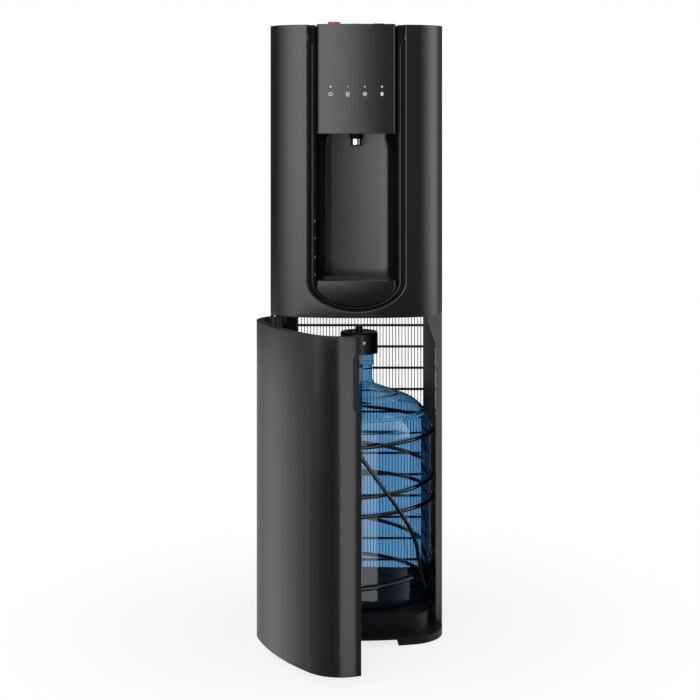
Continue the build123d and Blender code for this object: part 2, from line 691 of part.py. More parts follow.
def nozzle():
    """Bright spout with a water way."""
    spout = post(0, NOZZLE_Y, HEAD_Z - NOZZLE_DROP, NICHE_TOP + 4, NOZZLE_R)
    lip = spout.edges().group_by(Axis.Z)[0]
    spout = chamfer(lip, 1.0)
    return spout - post(0, NOZZLE_Y, HEAD_Z - NOZZLE_DROP - CUT, NICHE_TOP + 5, NOZZLE_BORE)


def control_head():
    """Convex head: front and side walls, a top with three button holes, and a rear flange."""
    block = body(0, REAR_Y, HEAD_Z, HEAD_TOP)
    block &= slab(-HEAD_HALF_W, HEAD_HALF_W, NOSE_Y - CUT, LEDGE_BACK + FIT, HEAD_Z, HEAD_TOP)
    uprights = block.edges().filter_by(Axis.Z).group_by(Axis.Y)[0]
    block = fillet(uprights, HEAD_EDGE_R)
    inside = body(HEAD_WALL, REAR_Y, HEAD_Z + HEAD_WALL, HEAD_TOP - HEAD_WALL)
    inside &= slab(-HEAD_HALF_W + HEAD_WALL, HEAD_HALF_W - HEAD_WALL, NOSE_Y, LEDGE_BACK + 2 * CUT,
                   HEAD_Z, HEAD_TOP)
    inside = fillet(inside.edges().filter_by(Axis.Z).group_by(Axis.Y)[0], HEAD_INNER_R)
    flange_half = (LEDGE_HALF_W + CHANNEL_HALF_W) / 2
    flange = slab(-flange_half, flange_half, LEDGE_BACK + FIT, LEDGE_BACK + FIT + 2,
                  NICHE_TOP + FIT, BODY_H - 8)
    flange -= slab(-HEAD_HALF_W + HEAD_WALL, HEAD_HALF_W - HEAD_WALL, LEDGE_BACK, LEDGE_BACK + 4,
                   NICHE_TOP, BODY_H)
    lid = slab(-HEAD_HALF_W, HEAD_HALF_W, LEDGE_BACK, HEAD_TOP_BACK, HEAD_TOP - HEAD_WALL, HEAD_TOP)
    head = block - inside + flange + lid
    for x in button_places():
        head -= post(x, BUTTON_Y, HEAD_TOP - HEAD_WALL - CUT, HEAD_TOP + CUT, BUTTON_R + RUN)
    for x in lamp_places():
        head -= rod_y(x, LAMP_Z, NOSE_Y - CUT, LEDGE_Y, LAMP_R)
    return head


def button_places():
    """Hot, room and cold, from the left."""
    return [-BUTTON_PITCH, 0.0, BUTTON_PITCH]


def lamp_places():
    return [(i - 1.5) * LAMP_PITCH for i in range(4)]


def button(x, proud):
    """Round cap with a stop flange and a stem through the carrier."""
    top = HEAD_TOP + proud
    foot = HEAD_TOP - HEAD_WALL - RUN
    cap = post(x, BUTTON_Y, foot - 3, top, BUTTON_R)
    rim = cap.edges().group_by(Axis.Z)[-1]
    cap = fillet(rim, min(1.2 + proud / 3, BUTTON_R / 3))
    stop = post(x, BUTTON_Y, foot - 3, foot, BUTTON_R + 1.6)
    stop &= body(HEAD_WALL + RUN, REAR_Y, 0, BODY_H)
    stem = post(x, BUTTON_Y, CARRIER_TOP - CARRIER_T - 2, foot - 3, STEM_R)
    return cap + stop + stem


def button_carrier():
    """Plate across the head that guides the three stems, with a switch under each."""
    half = HEAD_HALF_W - HEAD_WALL - FIT
    plate = slab(-half, half, NOSE_Y, LEDGE_BACK + 12, CARRIER_TOP - CARRIER_T, CARRIER_TOP)
    plate &= body(HEAD_WALL + FIT, REAR_Y, 0, BODY_H)
    plate = fillet(plate.edges().filter_by(Axis.Z).group_by(Axis.Y)[0], HEAD_INNER_R + CUT)
    for x in button_places():
        plate -= post(x, BUTTON_Y, 0, BODY_H, STEM_R + PIN_RUN)
    return plate


def button_switches():
    """Small switches hung from the carrier, each below its stem."""
    group = []
    for x in button_places():
        foot = CARRIER_TOP - CARRIER_T - 2 - BUTTON_TRAVEL - RUN
        case = slab(x - 9, x + 9, BUTTON_Y - 5, BUTTON_Y + 5, foot - 10, foot)
        arm = slab(x + STEM_R + 1, x + 9, BUTTON_Y - 5, BUTTON_Y + 5, foot, CARRIER_TOP - CARRIER_T)
        group.append(case + arm)
    return group


def button_springs():
    """One compression spring around each stem, ground flat by its own loop ends."""
    foot = CARRIER_TOP + SPRING_WIRE + 0.05
    head = HEAD_TOP - HEAD_WALL - RUN - 3 - SPRING_WIRE - 0.05
    pitch = (head - foot) / SPRING_TURNS
    group = []
    for x in button_places():
        loops = helix(x, BUTTON_Y, foot, SPRING_R, pitch, SPRING_TURNS)
        group.append(tube(Wire(loops), SPRING_WIRE))
    return group


def indicator_lenses():
    """Four round lamp lenses, flush with the head."""
    group = []
    for x in lamp_places():
        lens = rod_y(x, LAMP_Z, NOSE_Y - CUT, LEDGE_Y, LAMP_R)
        group.append(lens & wrap(0, HEAD_WALL, REAR_Y, HEAD_Z, HEAD_TOP))
    return group


def indicator_board():
    """Lamp board behind the head's front wall, held by two posts of its own."""
    half = 1.5 * LAMP_PITCH + 8
    back = LEDGE_Y
    board = slab(-half, half, back, back + BOARD_T, LAMP_Z - 16, LAMP_Z + 10)
    for x in lamp_places():
        face_y = NOSE_CY - sqrt((NOSE_R - HEAD_WALL) ** 2 - x ** 2) + RUN
        board += rod_y(x, LAMP_Z, face_y, back, LAMP_R)
    for x in (-half + 4, half - 4):
        seat = rod_y(x, LAMP_Z - 10, NOSE_Y, back, 2.5) & body(HEAD_WALL + FIT, REAR_Y, 0, BODY_H)
        board += seat
    return board


def top_cover():
    """Lid let in behind the rim, cut away around the channel and the head."""
    top = BODY_H - 1
    lid = body(WALL + FIT, COVER_FACE - FIT, top - 3, top)
    skirt = wrap(WALL + FIT, WALL + FIT + 2, COVER_FACE - FIT, top - 9, top - 2)
    lid += skirt & body(0, FRONT_JOIN_Y - FIT, 0, BODY_H)
    lid -= slab(-CHANNEL_HALF_W - FIT, CHANNEL_HALF_W + FIT, NOSE_Y, LEDGE_BACK + 4, 0, BODY_H + 5)
    return lid - slab(-HEAD_HALF_W - FIT, HEAD_HALF_W + FIT, NOSE_Y, HEAD_TOP_BACK + FIT, 0,
                      BODY_H + 5)


def drip_tray():
    """Removable basin: barrel-shaped front, scooped underside, half-round back."""
    foot = ARCH_Z - TRAY_DROP - CUT
    block = niche(TRAY_HALF_W, NOSE_Y - CUT, foot, TRAY_TOP) & tray_barrel(foot)
    corners = [e for e in block.edges() if all(
        abs(abs((e @ t).X) - TRAY_HALF_W) < 0.01 and (e @ t).Y < LEDGE_Y for t in (0, 0.5, 1))]
    block = fillet(corners, HEAD_EDGE_R)
    block &= arch(TRAY_HALF_W, TRAY_DROP, TRAY_TOP, NOSE_Y - CUT, 0)
    inner = TRAY_HALF_W - TRAY_WALL
    basin = niche(inner, LEDGE_Y, 0, TRAY_TOP + CUT)
    basin &= arch(inner, TRAY_DROP - TRAY_WALL, TRAY_TOP + 2 * CUT, NOSE_Y, 0)
    shelf = niche(TRAY_HALF_W - 1.2, LEDGE_Y - 1, TRAY_TOP - GRILLE_T, TRAY_TOP + CUT)
    return block - basin - shelf


def tray_barrel(foot):
    """Solid of revolution about the nose's centre that is upright at the tray's top."""
    fall = TRAY_TOP - foot
    draw = TRAY_BARREL_R - sqrt(TRAY_BARREL_R ** 2 - fall ** 2)
    half = TRAY_BARREL_R - sqrt(TRAY_BARREL_R ** 2 - fall ** 2 / 4)
    side = [
        Line((0, foot), (NOSE_R - draw, foot)),
        ThreePointArc((NOSE_R - draw, foot), (NOSE_R - half, TRAY_TOP - fall / 2), (NOSE_R, TRAY_TOP)),
        Line((NOSE_R, TRAY_TOP), (0, TRAY_TOP)),
        Line((0, TRAY_TOP), (0, foot)),
    ]
    return Pos(0, NOSE_CY, 0) * revolve(Plane.XZ * make_face(side), axis=Axis.Z)


def drip_grille():
    """Slotted plate that lies in the tray's rim."""
    half = TRAY_HALF_W - 1.2 - RUN
    plate = niche(half, LEDGE_Y - 1 + RUN, TRAY_TOP - GRILLE_T, TRAY_TOP)
    back_y, _, turn, turn_x, turn_y = niche_back(half)
    pitch = (back_y - LEDGE_Y - 14) / GRILLE_SLOTS
    for i in range(GRILLE_SLOTS):
        y = LEDGE_Y + 7 + pitch * (i + 0.5)
        reach = turn_x + sqrt(turn ** 2 - max(0.0, y - turn_y) ** 2) - 9
        plate -= slab(-reach, reach, y - GRILLE_SLOT_W / 2, y + GRILLE_SLOT_W / 2,
                      TRAY_TOP - GRILLE_T - CUT, TRAY_TOP + CUT)
    return plate


# ---------------------------------------------------------------- dispensing works
def manifold():
    """Block on the nozzle that joins the three valves."""
    z0 = NICHE_TOP + 4
    half = VALVE_PITCH + VALVE_W / 2 - 3
    block = slab(-half, half, NOZZLE_Y - 12, NOZZLE_Y + 26, z0, z0 + MANIFOLD_H)
    block -= post(0, NOZZLE_Y, z0 - CUT, z0 + 6, NOZZLE_BORE)
    for x in (-half, half - 8):
        block += slab(x, x + 8, NOZZLE_Y + 10, NOZZLE_Y + 26, NICHE_TOP, z0)
    return block


def dispense_valves():
    """Three solenoid valves on the manifold, each with an inlet barb to the rear."""
    z0 = VALVE_FOOT
    half = VALVE_W / 2
    group = []
    for x in (-VALVE_PITCH, 0.0, VALVE_PITCH):
        valve = slab(x - half, x + half, VALVE_Y - half, VALVE_Y + half, z0, z0 + VALVE_H)
        valve += post(x, VALVE_Y, z0 + VALVE_H, z0 + VALVE_H + VALVE_CAN_H, VALVE_CAN_R)
        valve += rod_y(x, VALVE_Z, VALVE_Y + half, VALVE_Y + half + 10, LINE_R - 1)
        group.append(valve)
    return group


def line_end(x):
    """Where a water line meets its valve."""
    return (x, VALVE_Y + VALVE_W / 2 + 10, VALVE_Z)


def water_lines():
    """Silicone lines: pump to cold tank, and hot, room and cold supply to the valves."""
    cold_lid = SHELF_TOP + COLD_H
    hot_lid = SHELF_TOP + HOT_H
    pump_top = BAY_FLOOR + PUMP_FOOT + PUMP_H + PUMP_STUB
    rise = cold_lid + 4
    high = cold_lid + 24
    feed = [(PUMP_X, PUMP_Y - 5, pump_top), (PUMP_X, PUMP_Y - 5, high),
            (COLD_X - 30, PUMP_Y - 5, high), (COLD_X - 30, COLD_Y, high), (COLD_X - 30, COLD_Y, rise)]
    cold = [(COLD_X + 12, COLD_Y, rise), (COLD_X + 12, COLD_Y, high),
            (VALVE_PITCH, -40, high), (VALVE_PITCH, -40, VALVE_Z), line_end(VALVE_PITCH)]
    hot = [(HOT_X, HOT_Y, hot_lid + 4), (HOT_X, HOT_Y, hot_lid + 30),
           (-VALVE_PITCH, PUMP_Y + 20, hot_lid + 30), (-VALVE_PITCH, PUMP_Y + 20, VALVE_Z),
           line_end(-VALVE_PITCH)]
    room = [(PUMP_X + 15, PUMP_Y - 20, pump_top), (PUMP_X + 15, PUMP_Y - 20, VALVE_Z + 30),
            (0, -50, VALVE_Z + 30), (0, -50, VALVE_Z), line_end(0)]
    intake = [(HOSE_TOP_X, HOSE_TOP_Y, BAY_FLOOR + 10), (HOSE_TOP_X, HOSE_TOP_Y, PUMP_INLET_Z + 6),
              (PUMP_X, PUMP_INLET_Y - 24, PUMP_INLET_Z), (PUMP_X, PUMP_INLET_Y, PUMP_INLET_Z)]
    lines = [pipe(route, LINE_BEND, LINE_R) for route in (feed, cold, hot, room)]
    return lines + [pipe(intake, [7, 8], LINE_R)]


def water_pump():
    """Small pump on rubber feet, with two outlets on top and an inlet at its front."""
    z0 = BAY_FLOOR + PUMP_FOOT
    half_w = PUMP_W / 2
    half_d = PUMP_D / 2
    case = slab(PUMP_X - half_w, PUMP_X + half_w, PUMP_Y - half_d, PUMP_Y + half_d, z0, z0 + PUMP_H)
    case = fillet(case.edges().filter_by(Axis.Z), 6)
    for i in (-1, 1):
        for j in (-1, 1):
            foot = (PUMP_X + i * (half_w - 7), PUMP_Y + j * (half_d - 8))
            case += post(*foot, BAY_FLOOR, z0, 5)
    for x, y in ((0, -5), (15, -20)):
        case += post(PUMP_X + x, PUMP_Y + y, z0 + PUMP_H, z0 + PUMP_H + PUMP_STUB, LINE_R - 1)
    return case + rod_y(PUMP_X, PUMP_INLET_Z, PUMP_INLET_Y, PUMP_Y - half_d, LINE_R - 1)


def hose_fitting():
    """Bulkhead fitting through the deck: barb below for the hose, barb above for the pump."""
    flange = post(HOSE_TOP_X, HOSE_TOP_Y, BAY_TOP - 3, BAY_TOP, FITTING_R + 4)
    body_part = post(HOSE_TOP_X, HOSE_TOP_Y, BAY_TOP, BAY_FLOOR + 6, FITTING_R - 0.05)
    barb = post(HOSE_TOP_X, HOSE_TOP_Y, BAY_FLOOR + 6, BAY_FLOOR + 10, LINE_R - 1)
    return flange + body_part + barb


def tank_shelf():
    """Steel shelf across the upper body, with turned-down edges."""
    z1 = SHELF_TOP
    front = FRONT_JOIN_Y + SHEET + 2 * FIT
    shelf = slab(-INNER_X + FIT, INNER_X - FIT, front, COVER_FACE - SHEET - FIT, TANK_SHELF_Z, z1)
    lip = slab(-INNER_X + FIT, INNER_X - FIT, front, front + SHELF_T, TANK_SHELF_Z - SHELF_LIP, z1)
    shelf += lip
    for x, y, radius in ((PUMP_X, PUMP_Y - 5, LINE_R + 1), (PUMP_X + 15, PUMP_Y - 20, LINE_R + 1),
                         (COIL_TAIL_X, CAPILLARY_Y, 3), (COIL_TAIL_X, SUCTION_Y, 4.5)):
        shelf -= post(x, y, TANK_SHELF_Z - SHELF_LIP - CUT, z1 + CUT, radius)
    return shelf


def hollow_tank(x, y, z0, z1, radius):
    """Closed steel drum."""
    drum = fillet(post(x, y, z0, z1, radius).edges(), TANK_EDGE)
    hollow = post(x, y, z0 + TANK_WALL, z1 - TANK_WALL, radius - TANK_WALL)
    return drum - fillet(hollow.edges(), TANK_EDGE - TANK_WALL)


def foam(x, y, height, outer, inner):
    """Insulation jacket round a tank."""
    jacket = post(x, y, SHELF_TOP, SHELF_TOP + height, outer)
    return jacket - post(x, y, SHELF_TOP + FOAM_END, SHELF_TOP + height - FOAM_END, inner)


def cold_tank():
    stem = post(COLD_X - 30, COLD_Y, SHELF_TOP + COLD_H - FOAM_END - 3, SHELF_TOP + COLD_H + 4,
                LINE_R - 1)
    stem += post(COLD_X + 12, COLD_Y, SHELF_TOP + COLD_H - FOAM_END - 3, SHELF_TOP + COLD_H + 4,
                 LINE_R - 1)
    drum = hollow_tank(COLD_X, COLD_Y, SHELF_TOP + FOAM_END, SHELF_TOP + COLD_H - FOAM_END,
                       COLD_TANK_R)
    return drum + stem


def cold_tank_jacket():
    jacket = foam(COLD_X, COLD_Y, COLD_H, COLD_FOAM_R, COIL_R + COIL_TUBE_R + 1)
    for x in (COLD_X - 30, COLD_X + 12):
        jacket -= post(x, COLD_Y, SHELF_TOP + COLD_H - 2 * FOAM_END, SHELF_TOP + COLD_H + CUT,
                       LINE_R - 1 + PIN_RUN)
    jacket -= rod_y(COIL_TAIL_X, COIL_Z, COLD_Y - COLD_FOAM_R, COLD_Y, COIL_TUBE_R + 1)
    return jacket - rod_y(COIL_TAIL_X, COIL_TOP, COLD_Y, COLD_Y + COLD_FOAM_R, COIL_TUBE_R + 1)


def evaporator_coil():
    """Copper loops round the cold tank, with a straight tail at each end."""
    start = Vector(COIL_TAIL_X, COLD_Y, COIL_Z)
    end = Vector(COIL_TAIL_X, COLD_Y, COIL_TOP)
    loops = helix(COLD_X, COLD_Y, COIL_Z, COIL_R, COIL_PITCH, COIL_TURNS)
    slope = COIL_PITCH / (2 * pi * COIL_R)
    lead = Vector(0, 1, slope).normalized()
    first = Vector(COIL_TAIL_X, CAPILLARY_Y + 25, COIL_Z)
    turn_in = biarc(first, Vector(0, 1, 0), start, lead)
    last = Vector(COIL_TAIL_X, SUCTION_Y - 12, COIL_TOP)
    turn_out = biarc(end, lead, last, Vector(0, 1, 0))
    return tube(Wire(turn_in + loops + turn_out), COIL_TUBE_R - 0.2)


def hot_tank():
    stem = post(HOT_X, HOT_Y, SHELF_TOP + HOT_H - FOAM_END - 3, SHELF_TOP + HOT_H + 4, LINE_R - 1)
    drain = rod_y(HOT_X, DRAIN_Z, HOT_Y + HOT_TANK_R - 3, HOT_Y + HOT_FOAM_R + 10, 4)
    drum = hollow_tank(HOT_X, HOT_Y, SHELF_TOP + FOAM_END, SHELF_TOP + HOT_H - FOAM_END, HOT_TANK_R)
    return drum + stem + drain


def hot_tank_jacket():
    jacket = foam(HOT_X, HOT_Y, HOT_H, HOT_FOAM_R, HOT_TANK_R + 0.5)
    jacket -= post(HOT_X, HOT_Y, SHELF_TOP + HOT_H - 2 * FOAM_END, SHELF_TOP + HOT_H + CUT,
                   LINE_R - 1 + PIN_RUN)
    return jacket - rod_y(HOT_X, DRAIN_Z, HOT_Y, HOT_Y + 2 * HOT_FOAM_R, 4 + PIN_RUN)


def compressor():
    """Hermetic shell on a foot plate, with a terminal box at its front."""
    shell = post(COMP_X, COMP_Y, COMP_FOOT_Z, COMP_FOOT_Z + COMP_H, COMP_R)
    shell = fillet(shell.edges(), 22)
    plate = slab(COMP_X - COMP_PLATE_W / 2, COMP_X + COMP_PLATE_W / 2, COMP_Y - COMP_PLATE_D / 2,
                 COMP_Y + COMP_PLATE_D / 2, COMP_FOOT_Z - 3, COMP_FOOT_Z + 6)
    plate = fillet(plate.edges().filter_by(Axis.Z), 10)
    for x, y in comp_feet():
        plate -= post(x, y, COMP_FOOT_Z - 5, COMP_FOOT_Z + 8, 4)
    box = slab(COMP_X - 20, COMP_X + 20, COMP_Y - COMP_R - 16, COMP_Y - COMP_R + 20,
               COMP_FOOT_Z + 50, COMP_FOOT_Z + 100)
    left = rod_x(COMP_Y, DISCHARGE_Z, COMP_X - COMP_R - 6, COMP_X - COMP_R + 10, 3.5)
    back = rod_y(COMP_X + 35, DISCHARGE_Z, COMP_Y + 40, COMP_Y + COMP_R - 3, 4)
    return shell + plate + box + left + back


def comp_feet():
    """Centres of the four feet."""
    half_x = COMP_FEET_X / 2
    half_y = COMP_FEET_Y / 2
    return [(COMP_X + i * half_x, COMP_Y + j * half_y) for i in (-1, 1) for j in (-1, 1)]


def compressor_grommets():
    """Rubber feet with a neck through the foot plate."""
    group = []
    for x, y in comp_feet():
        foot = post(x, y, BAY_FLOOR, COMP_FOOT_Z - 3, 9)
        group.append(foot + post(x, y, COMP_FOOT_Z - 3, COMP_FOOT_Z + 8, 3.9))
    return group


def refrigerant_lines():
    """Discharge to the condenser, capillary from the drier, and suction from the coil."""
    start_x = COMP_X - COMP_R - 6
    discharge = [(start_x, COMP_Y, DISCHARGE_Z), (-90, COMP_Y, DISCHARGE_Z),
                 (TAIL_X, COMP_Y, RUN_TOP), (TAIL_X, TAIL_END_Y, RUN_TOP)]
    low = BAY_FLOOR + 14
    capillary = [(RISER_X, DRIER_Y, DRIER_Z), (RISER_X, DRIER_Y, low), (RISER_X, CAPILLARY_Y, low),
                 (COIL_TAIL_X, CAPILLARY_Y, low), (COIL_TAIL_X, CAPILLARY_Y, COIL_Z),
                 (COIL_TAIL_X, CAPILLARY_Y + 25, COIL_Z)]
    suction = [(COIL_TAIL_X, SUCTION_Y - 12, COIL_TOP), (COIL_TAIL_X, SUCTION_Y, COIL_TOP),
               (COIL_TAIL_X, SUCTION_Y, DISCHARGE_Z), (COMP_X + 35, SUCTION_Y, DISCHARGE_Z),
               (COMP_X + 35, COMP_Y + COMP_R - 3, DISCHARGE_Z)]
    return [pipe(discharge, 14, 2.5), pipe(capillary, 10, 1.5), pipe(suction, 6, 3)]


def filter_drier():
    """Copper drier between the condenser's riser and the capillary."""
    shell = post(RISER_X, DRIER_Y, DRIER_Z, DRIER_Z + DRIER_H, DRIER_R)
    return fillet(shell.edges(), DRIER_R / 2)


def power_board():
    """Relay and supply board in a housing on the right side panel."""
    z0 = BAY_FLOOR + VENT_RISE
    case = slab(INNER_X - BOX_T, INNER_X, BOX_FRONT, BOX_BACK, z0, z0 + BOX_H)
    return fillet(case.edges().filter_by(Axis.X), 4)


# ---------------------------------------------------------------- condenser and back
def condenser_tube():
    """One serpentine tube, with a riser to the drier and a tail from the compressor."""
    y = CONDENSER_Y
    bend = RUN_PITCH / 2
    lead = FilletPolyline((RISER_X, DRIER_Y, DRIER_Z + DRIER_H), (RISER_X, DRIER_Y, RISER_TOP),
                          (RISER_X, y, RISER_TOP), (RISER_X, y, RUN_Z), (RUN_LEFT, y, RUN_Z),
                          radius=TAIL_BEND)
    edges = list(lead.edges())
    for i in range(RUNS):
        z = RUN_Z + RUN_PITCH * i
        near, far, way = (RUN_LEFT, RUN_RIGHT, 1) if i % 2 == 0 else (RUN_RIGHT, RUN_LEFT, -1)
        edges.append(Line((near, y, z), (far, y, z)))
        if i < RUNS - 1:
            edges.append(ThreePointArc((far, y, z), (far + way * bend, y, z + bend),
                                       (far, y, z + RUN_PITCH)))
    reach = TAIL_BEND * sin(pi / 4)
    edges.append(ThreePointArc((RUN_LEFT, y, RUN_TOP),
                               (RUN_LEFT - reach, y - TAIL_BEND + reach, RUN_TOP),
                               (TAIL_X, y - TAIL_BEND, RUN_TOP)))
    edges.append(Line((TAIL_X, y - TAIL_BEND, RUN_TOP), (TAIL_X, TAIL_END_Y, RUN_TOP)))
    return tube(Wire(edges), TUBE_R)


def condenser_wires():
    """Upright wires, welded by turns to the front and the back of the runs."""
    count = int((RUN_RIGHT - RUN_LEFT) / WIRE_PITCH)
    first = (RUN_RIGHT + RUN_LEFT - WIRE_PITCH * (count - 1)) / 2
    off = TUBE_R + WIRE_R
    group = []
    for i in range(count):
        y = CONDENSER_Y + (off if i % 2 else -off)
        group.append(post(first + i * WIRE_PITCH, y, RUN_Z - 14, RUN_TOP + 14, WIRE_R))
    return group


def condenser_brackets():
    """Clips on the rear flanges, each inside one outer bend of the serpentine."""
    reach = sqrt((RUN_PITCH / 2 - TUBE_R) ** 2 - CLIP_H ** 2 / 4) - 0.05
    group = []
    for turns in (0.5, RUNS - 5.5):
        z = RUN_Z + turns * RUN_PITCH
        group.append(slab(RUN_RIGHT + 4, RUN_RIGHT + reach, BACK_Y, CONDENSER_Y,
                          z - CLIP_H / 2, z + CLIP_H / 2))
        z += RUN_PITCH
        group.append(slab(RUN_LEFT - reach, RUN_LEFT - 2, BACK_Y, CONDENSER_Y,
                          z - CLIP_H / 2, z + CLIP_H / 2))
    return group


def rear_cover():
    """Vented sheet that closes the back of the upper body."""
    y0 = COVER_FACE - SHEET
    sheet = slab(-INNER_X + FIT, INNER_X - FIT, y0, COVER_FACE - 0.01, BAY_FLOOR, BODY_H - 12)
    for row in range(VENT_ROWS):
        for column in range(VENT_COLUMNS):
            x = VENT_PITCH_X * (column - (VENT_COLUMNS - 1) / 2)
            z = BAY_FLOOR + VENT_RISE + VENT_PITCH_Z * row
            sheet -= slab(x - VENT_W / 2, x + VENT_W / 2, y0 - CUT, COVER_FACE + CUT,
                          z - VENT_H / 2, z + VENT_H / 2)
    sheet -= rod_y(HOT_X, DRAIN_Z, y0 - CUT, BACK_Y, 8)
    sheet -= rod_y(RISER_X, RISER_TOP, y0 - CUT, BACK_Y, TUBE_HOLE_R)
    sheet -= rod_y(TAIL_X, RUN_TOP, y0 - CUT, BACK_Y, TUBE_HOLE_R)
    sheet -= slab(INLET_X - 24, INLET_X + 24, y0 - CUT, BACK_Y, INLET_Z - 14, INLET_Z + 14)
    for x in ROCKER_X:
        sheet -= slab(x - ROCKER_W / 2 - 3, x + ROCKER_W / 2 + 3, y0 - CUT, BACK_Y,
                      ROCKER_Z - ROCKER_H / 2 - 3, ROCKER_Z + ROCKER_H / 2 + 3)
    return sheet


def rear_screws():
    """Pan-head screws through the rear flanges into the rear cover."""
    group = []
    for z in (BAY_FLOOR + 30, (BAY_FLOOR + BODY_H) / 2 + 40, BODY_H - 40):
        for x in (-HALF_W + REAR_FLANGE_LEFT - SCREW_IN, HALF_W - REAR_FLANGE_RIGHT + SCREW_IN):
            head = rod_y(x, z, BACK_Y, BACK_Y + 2.2, 3.6)
            head = fillet(head.edges().group_by(Axis.Y)[-1], 1.2)
            head -= slab(x - 2, x + 2, BACK_Y + 1.2, BACK_Y + 3, z - 0.5, z + 0.5)
            group.append(head - slab(x - 0.5, x + 0.5, BACK_Y + 1.2, BACK_Y + 3, z - 2, z + 2))
    return group


def power_inlet():
    """Three-pin appliance inlet in the rear cover."""
    face = COVER_FACE + 3
    case = slab(INLET_X - 23.8, INLET_X + 23.8, face - 26, face, INLET_Z - 13.8, INLET_Z + 13.8)
    case += slab(INLET_X - 28, INLET_X + 28, COVER_FACE, face, INLET_Z - 16, INLET_Z + 16)
    case -= slab(INLET_X - 12, INLET_X + 12, face - 17, face + CUT, INLET_Z - 9, INLET_Z + 9)
    group = [case]
    for dx, dz in ((-7, -2), (0, 2), (7, -2)):
        x = INLET_X + dx
        z = INLET_Z + dz
        group.append(slab(x - INLET_PIN_W / 2, x + INLET_PIN_W / 2, face - 17, face - 2,
                          z - INLET_PIN_H / 2, z + INLET_PIN_H / 2))
    return group


def switch_housings():
    """Frames of the two rear rocker switches."""
    group = []
    face = ROCKER_FACE
    for x in ROCKER_X:
        w = ROCKER_W / 2 + 2.8
        h = ROCKER_H / 2 + 2.8
        case = slab(x - w, x + w, face - 18, face, ROCKER_Z - h, ROCKER_Z + h)
        case += slab(x - w - 2, x + w + 2, COVER_FACE, face, ROCKER_Z - h - 2, ROCKER_Z + h + 2)
        case -= slab(x - ROCKER_W / 2 - RUN, x + ROCKER_W / 2 + RUN, face - 12, face + CUT,
                     ROCKER_Z - ROCKER_H / 2 - 1, ROCKER_Z + ROCKER_H / 2 + 1)
        case -= rod_x(face - ROCKER_PIN_IN, ROCKER_Z, x - ROCKER_W / 2 - 1.8,
                      x + ROCKER_W / 2 + 1.8, ROCKER_PIN_R + PIN_RUN)
        group.append(case)
    return group


def rocker(x):
    """Rocker on two side pins, tipped so that its top is pressed in."""
    face = ROCKER_FACE
    crest = face + 1.2
    pin_y = face - ROCKER_PIN_IN
    half = ROCKER_H / 2
    lean = radians(ROCKER_THROW + 2)
    side = Polyline((face - 7, -half), (crest - half * tan(lean), -half), (crest, 0),
                    (crest - half * tan(lean), half), (face - 7, half), close=True)
    key = Pos(x - ROCKER_W / 2, 0, ROCKER_Z) * extrude(Plane.YZ * make_face(side), amount=ROCKER_W)
    key += rod_x(pin_y, ROCKER_Z, x - ROCKER_W / 2 - 1.5, x + ROCKER_W / 2 + 1.5, ROCKER_PIN_R)
    return Pos(0, pin_y, ROCKER_Z) * Rot(X=ROCKER_THROW) * Pos(0, -pin_y, -ROCKER_Z) * key


def drain_fitting():
    """Threaded drain neck from the hot tank out through the rear cover."""
    neck = rod_y(HOT_X, DRAIN_Z, HOT_Y + HOT_FOAM_R + 10, REAR_Y - 3.5, 6.5)
    neck += rod_y(HOT_X, DRAIN_Z, COVER_FACE, COVER_FACE + 2, 11)
    return neck - rod_y(HOT_X, DRAIN_Z, HOT_Y, REAR_Y, 3)


def drain_cap():
    """Ribbed cap that screws on the drain neck."""
    y0 = COVER_FACE + 2 + RUN
    cap = rod_y(HOT_X, DRAIN_Z, y0, REAR_Y, 10)
    cap -= rod_y(HOT_X, DRAIN_Z, y0 - CUT, REAR_Y - 2.5, 6.5 + PIN_RUN)
    for i in range(12):
        a = i * pi / 6
        cap -= rod_y(HOT_X + 10.4 * cos(a), DRAIN_Z + 10.4 * sin(a), y0 - CUT, REAR_Y + CUT, 1.0)
    return cap


# ---------------------------------------------------------------- bottle
def bottle_profile(off):
    """Half section of the bottle drawn in by off: foot, wall, shoulder and neck."""
    r = BOTTLE_R - off
    foot = PLATFORM_H + off
    neck = BOTTLE_NECK_R - off
    heel = 14.0
    hip = BOTTLE_BODY_TOP
    top = BOTTLE_MOUTH_Z + (CUT if off else 0)
    line = [
        Line((0, foot), (r - heel, foot)),
        ThreePointArc((r - heel, foot), (r - heel + heel * sin(pi / 4), foot + heel - heel * cos(pi / 4)),
                      (r, foot + heel)),
        Line((r, foot + heel), (r, hip)),
        ThreePointArc((r, hip), (r * 0.862, hip + 30 - off / 2), (r * 0.68, hip + 46 - off)),
        Line((r * 0.68, hip + 46 - off), (neck + 7, BOTTLE_NECK_Z - 4 - off)),
        ThreePointArc((neck + 7, BOTTLE_NECK_Z - 4 - off), (neck + 2.4, BOTTLE_NECK_Z - 0.5),
                      (neck, BOTTLE_NECK_Z + 6)),
        Line((neck, BOTTLE_NECK_Z + 6), (neck, top)),
        Line((neck, top), (0, top)),
        Line((0, top), (0, foot)),
    ]
    return make_face(line)


def water_bottle():
    """Blow-moulded bottle, open at the neck."""
    outer = revolve(Plane.XZ * bottle_profile(0), axis=Axis.Z)
    inner = revolve(Plane.XZ * bottle_profile(BOTTLE_WALL), axis=Axis.Z)
    return Pos(BOTTLE_X, BOTTLE_Y, 0) * (outer - inner)


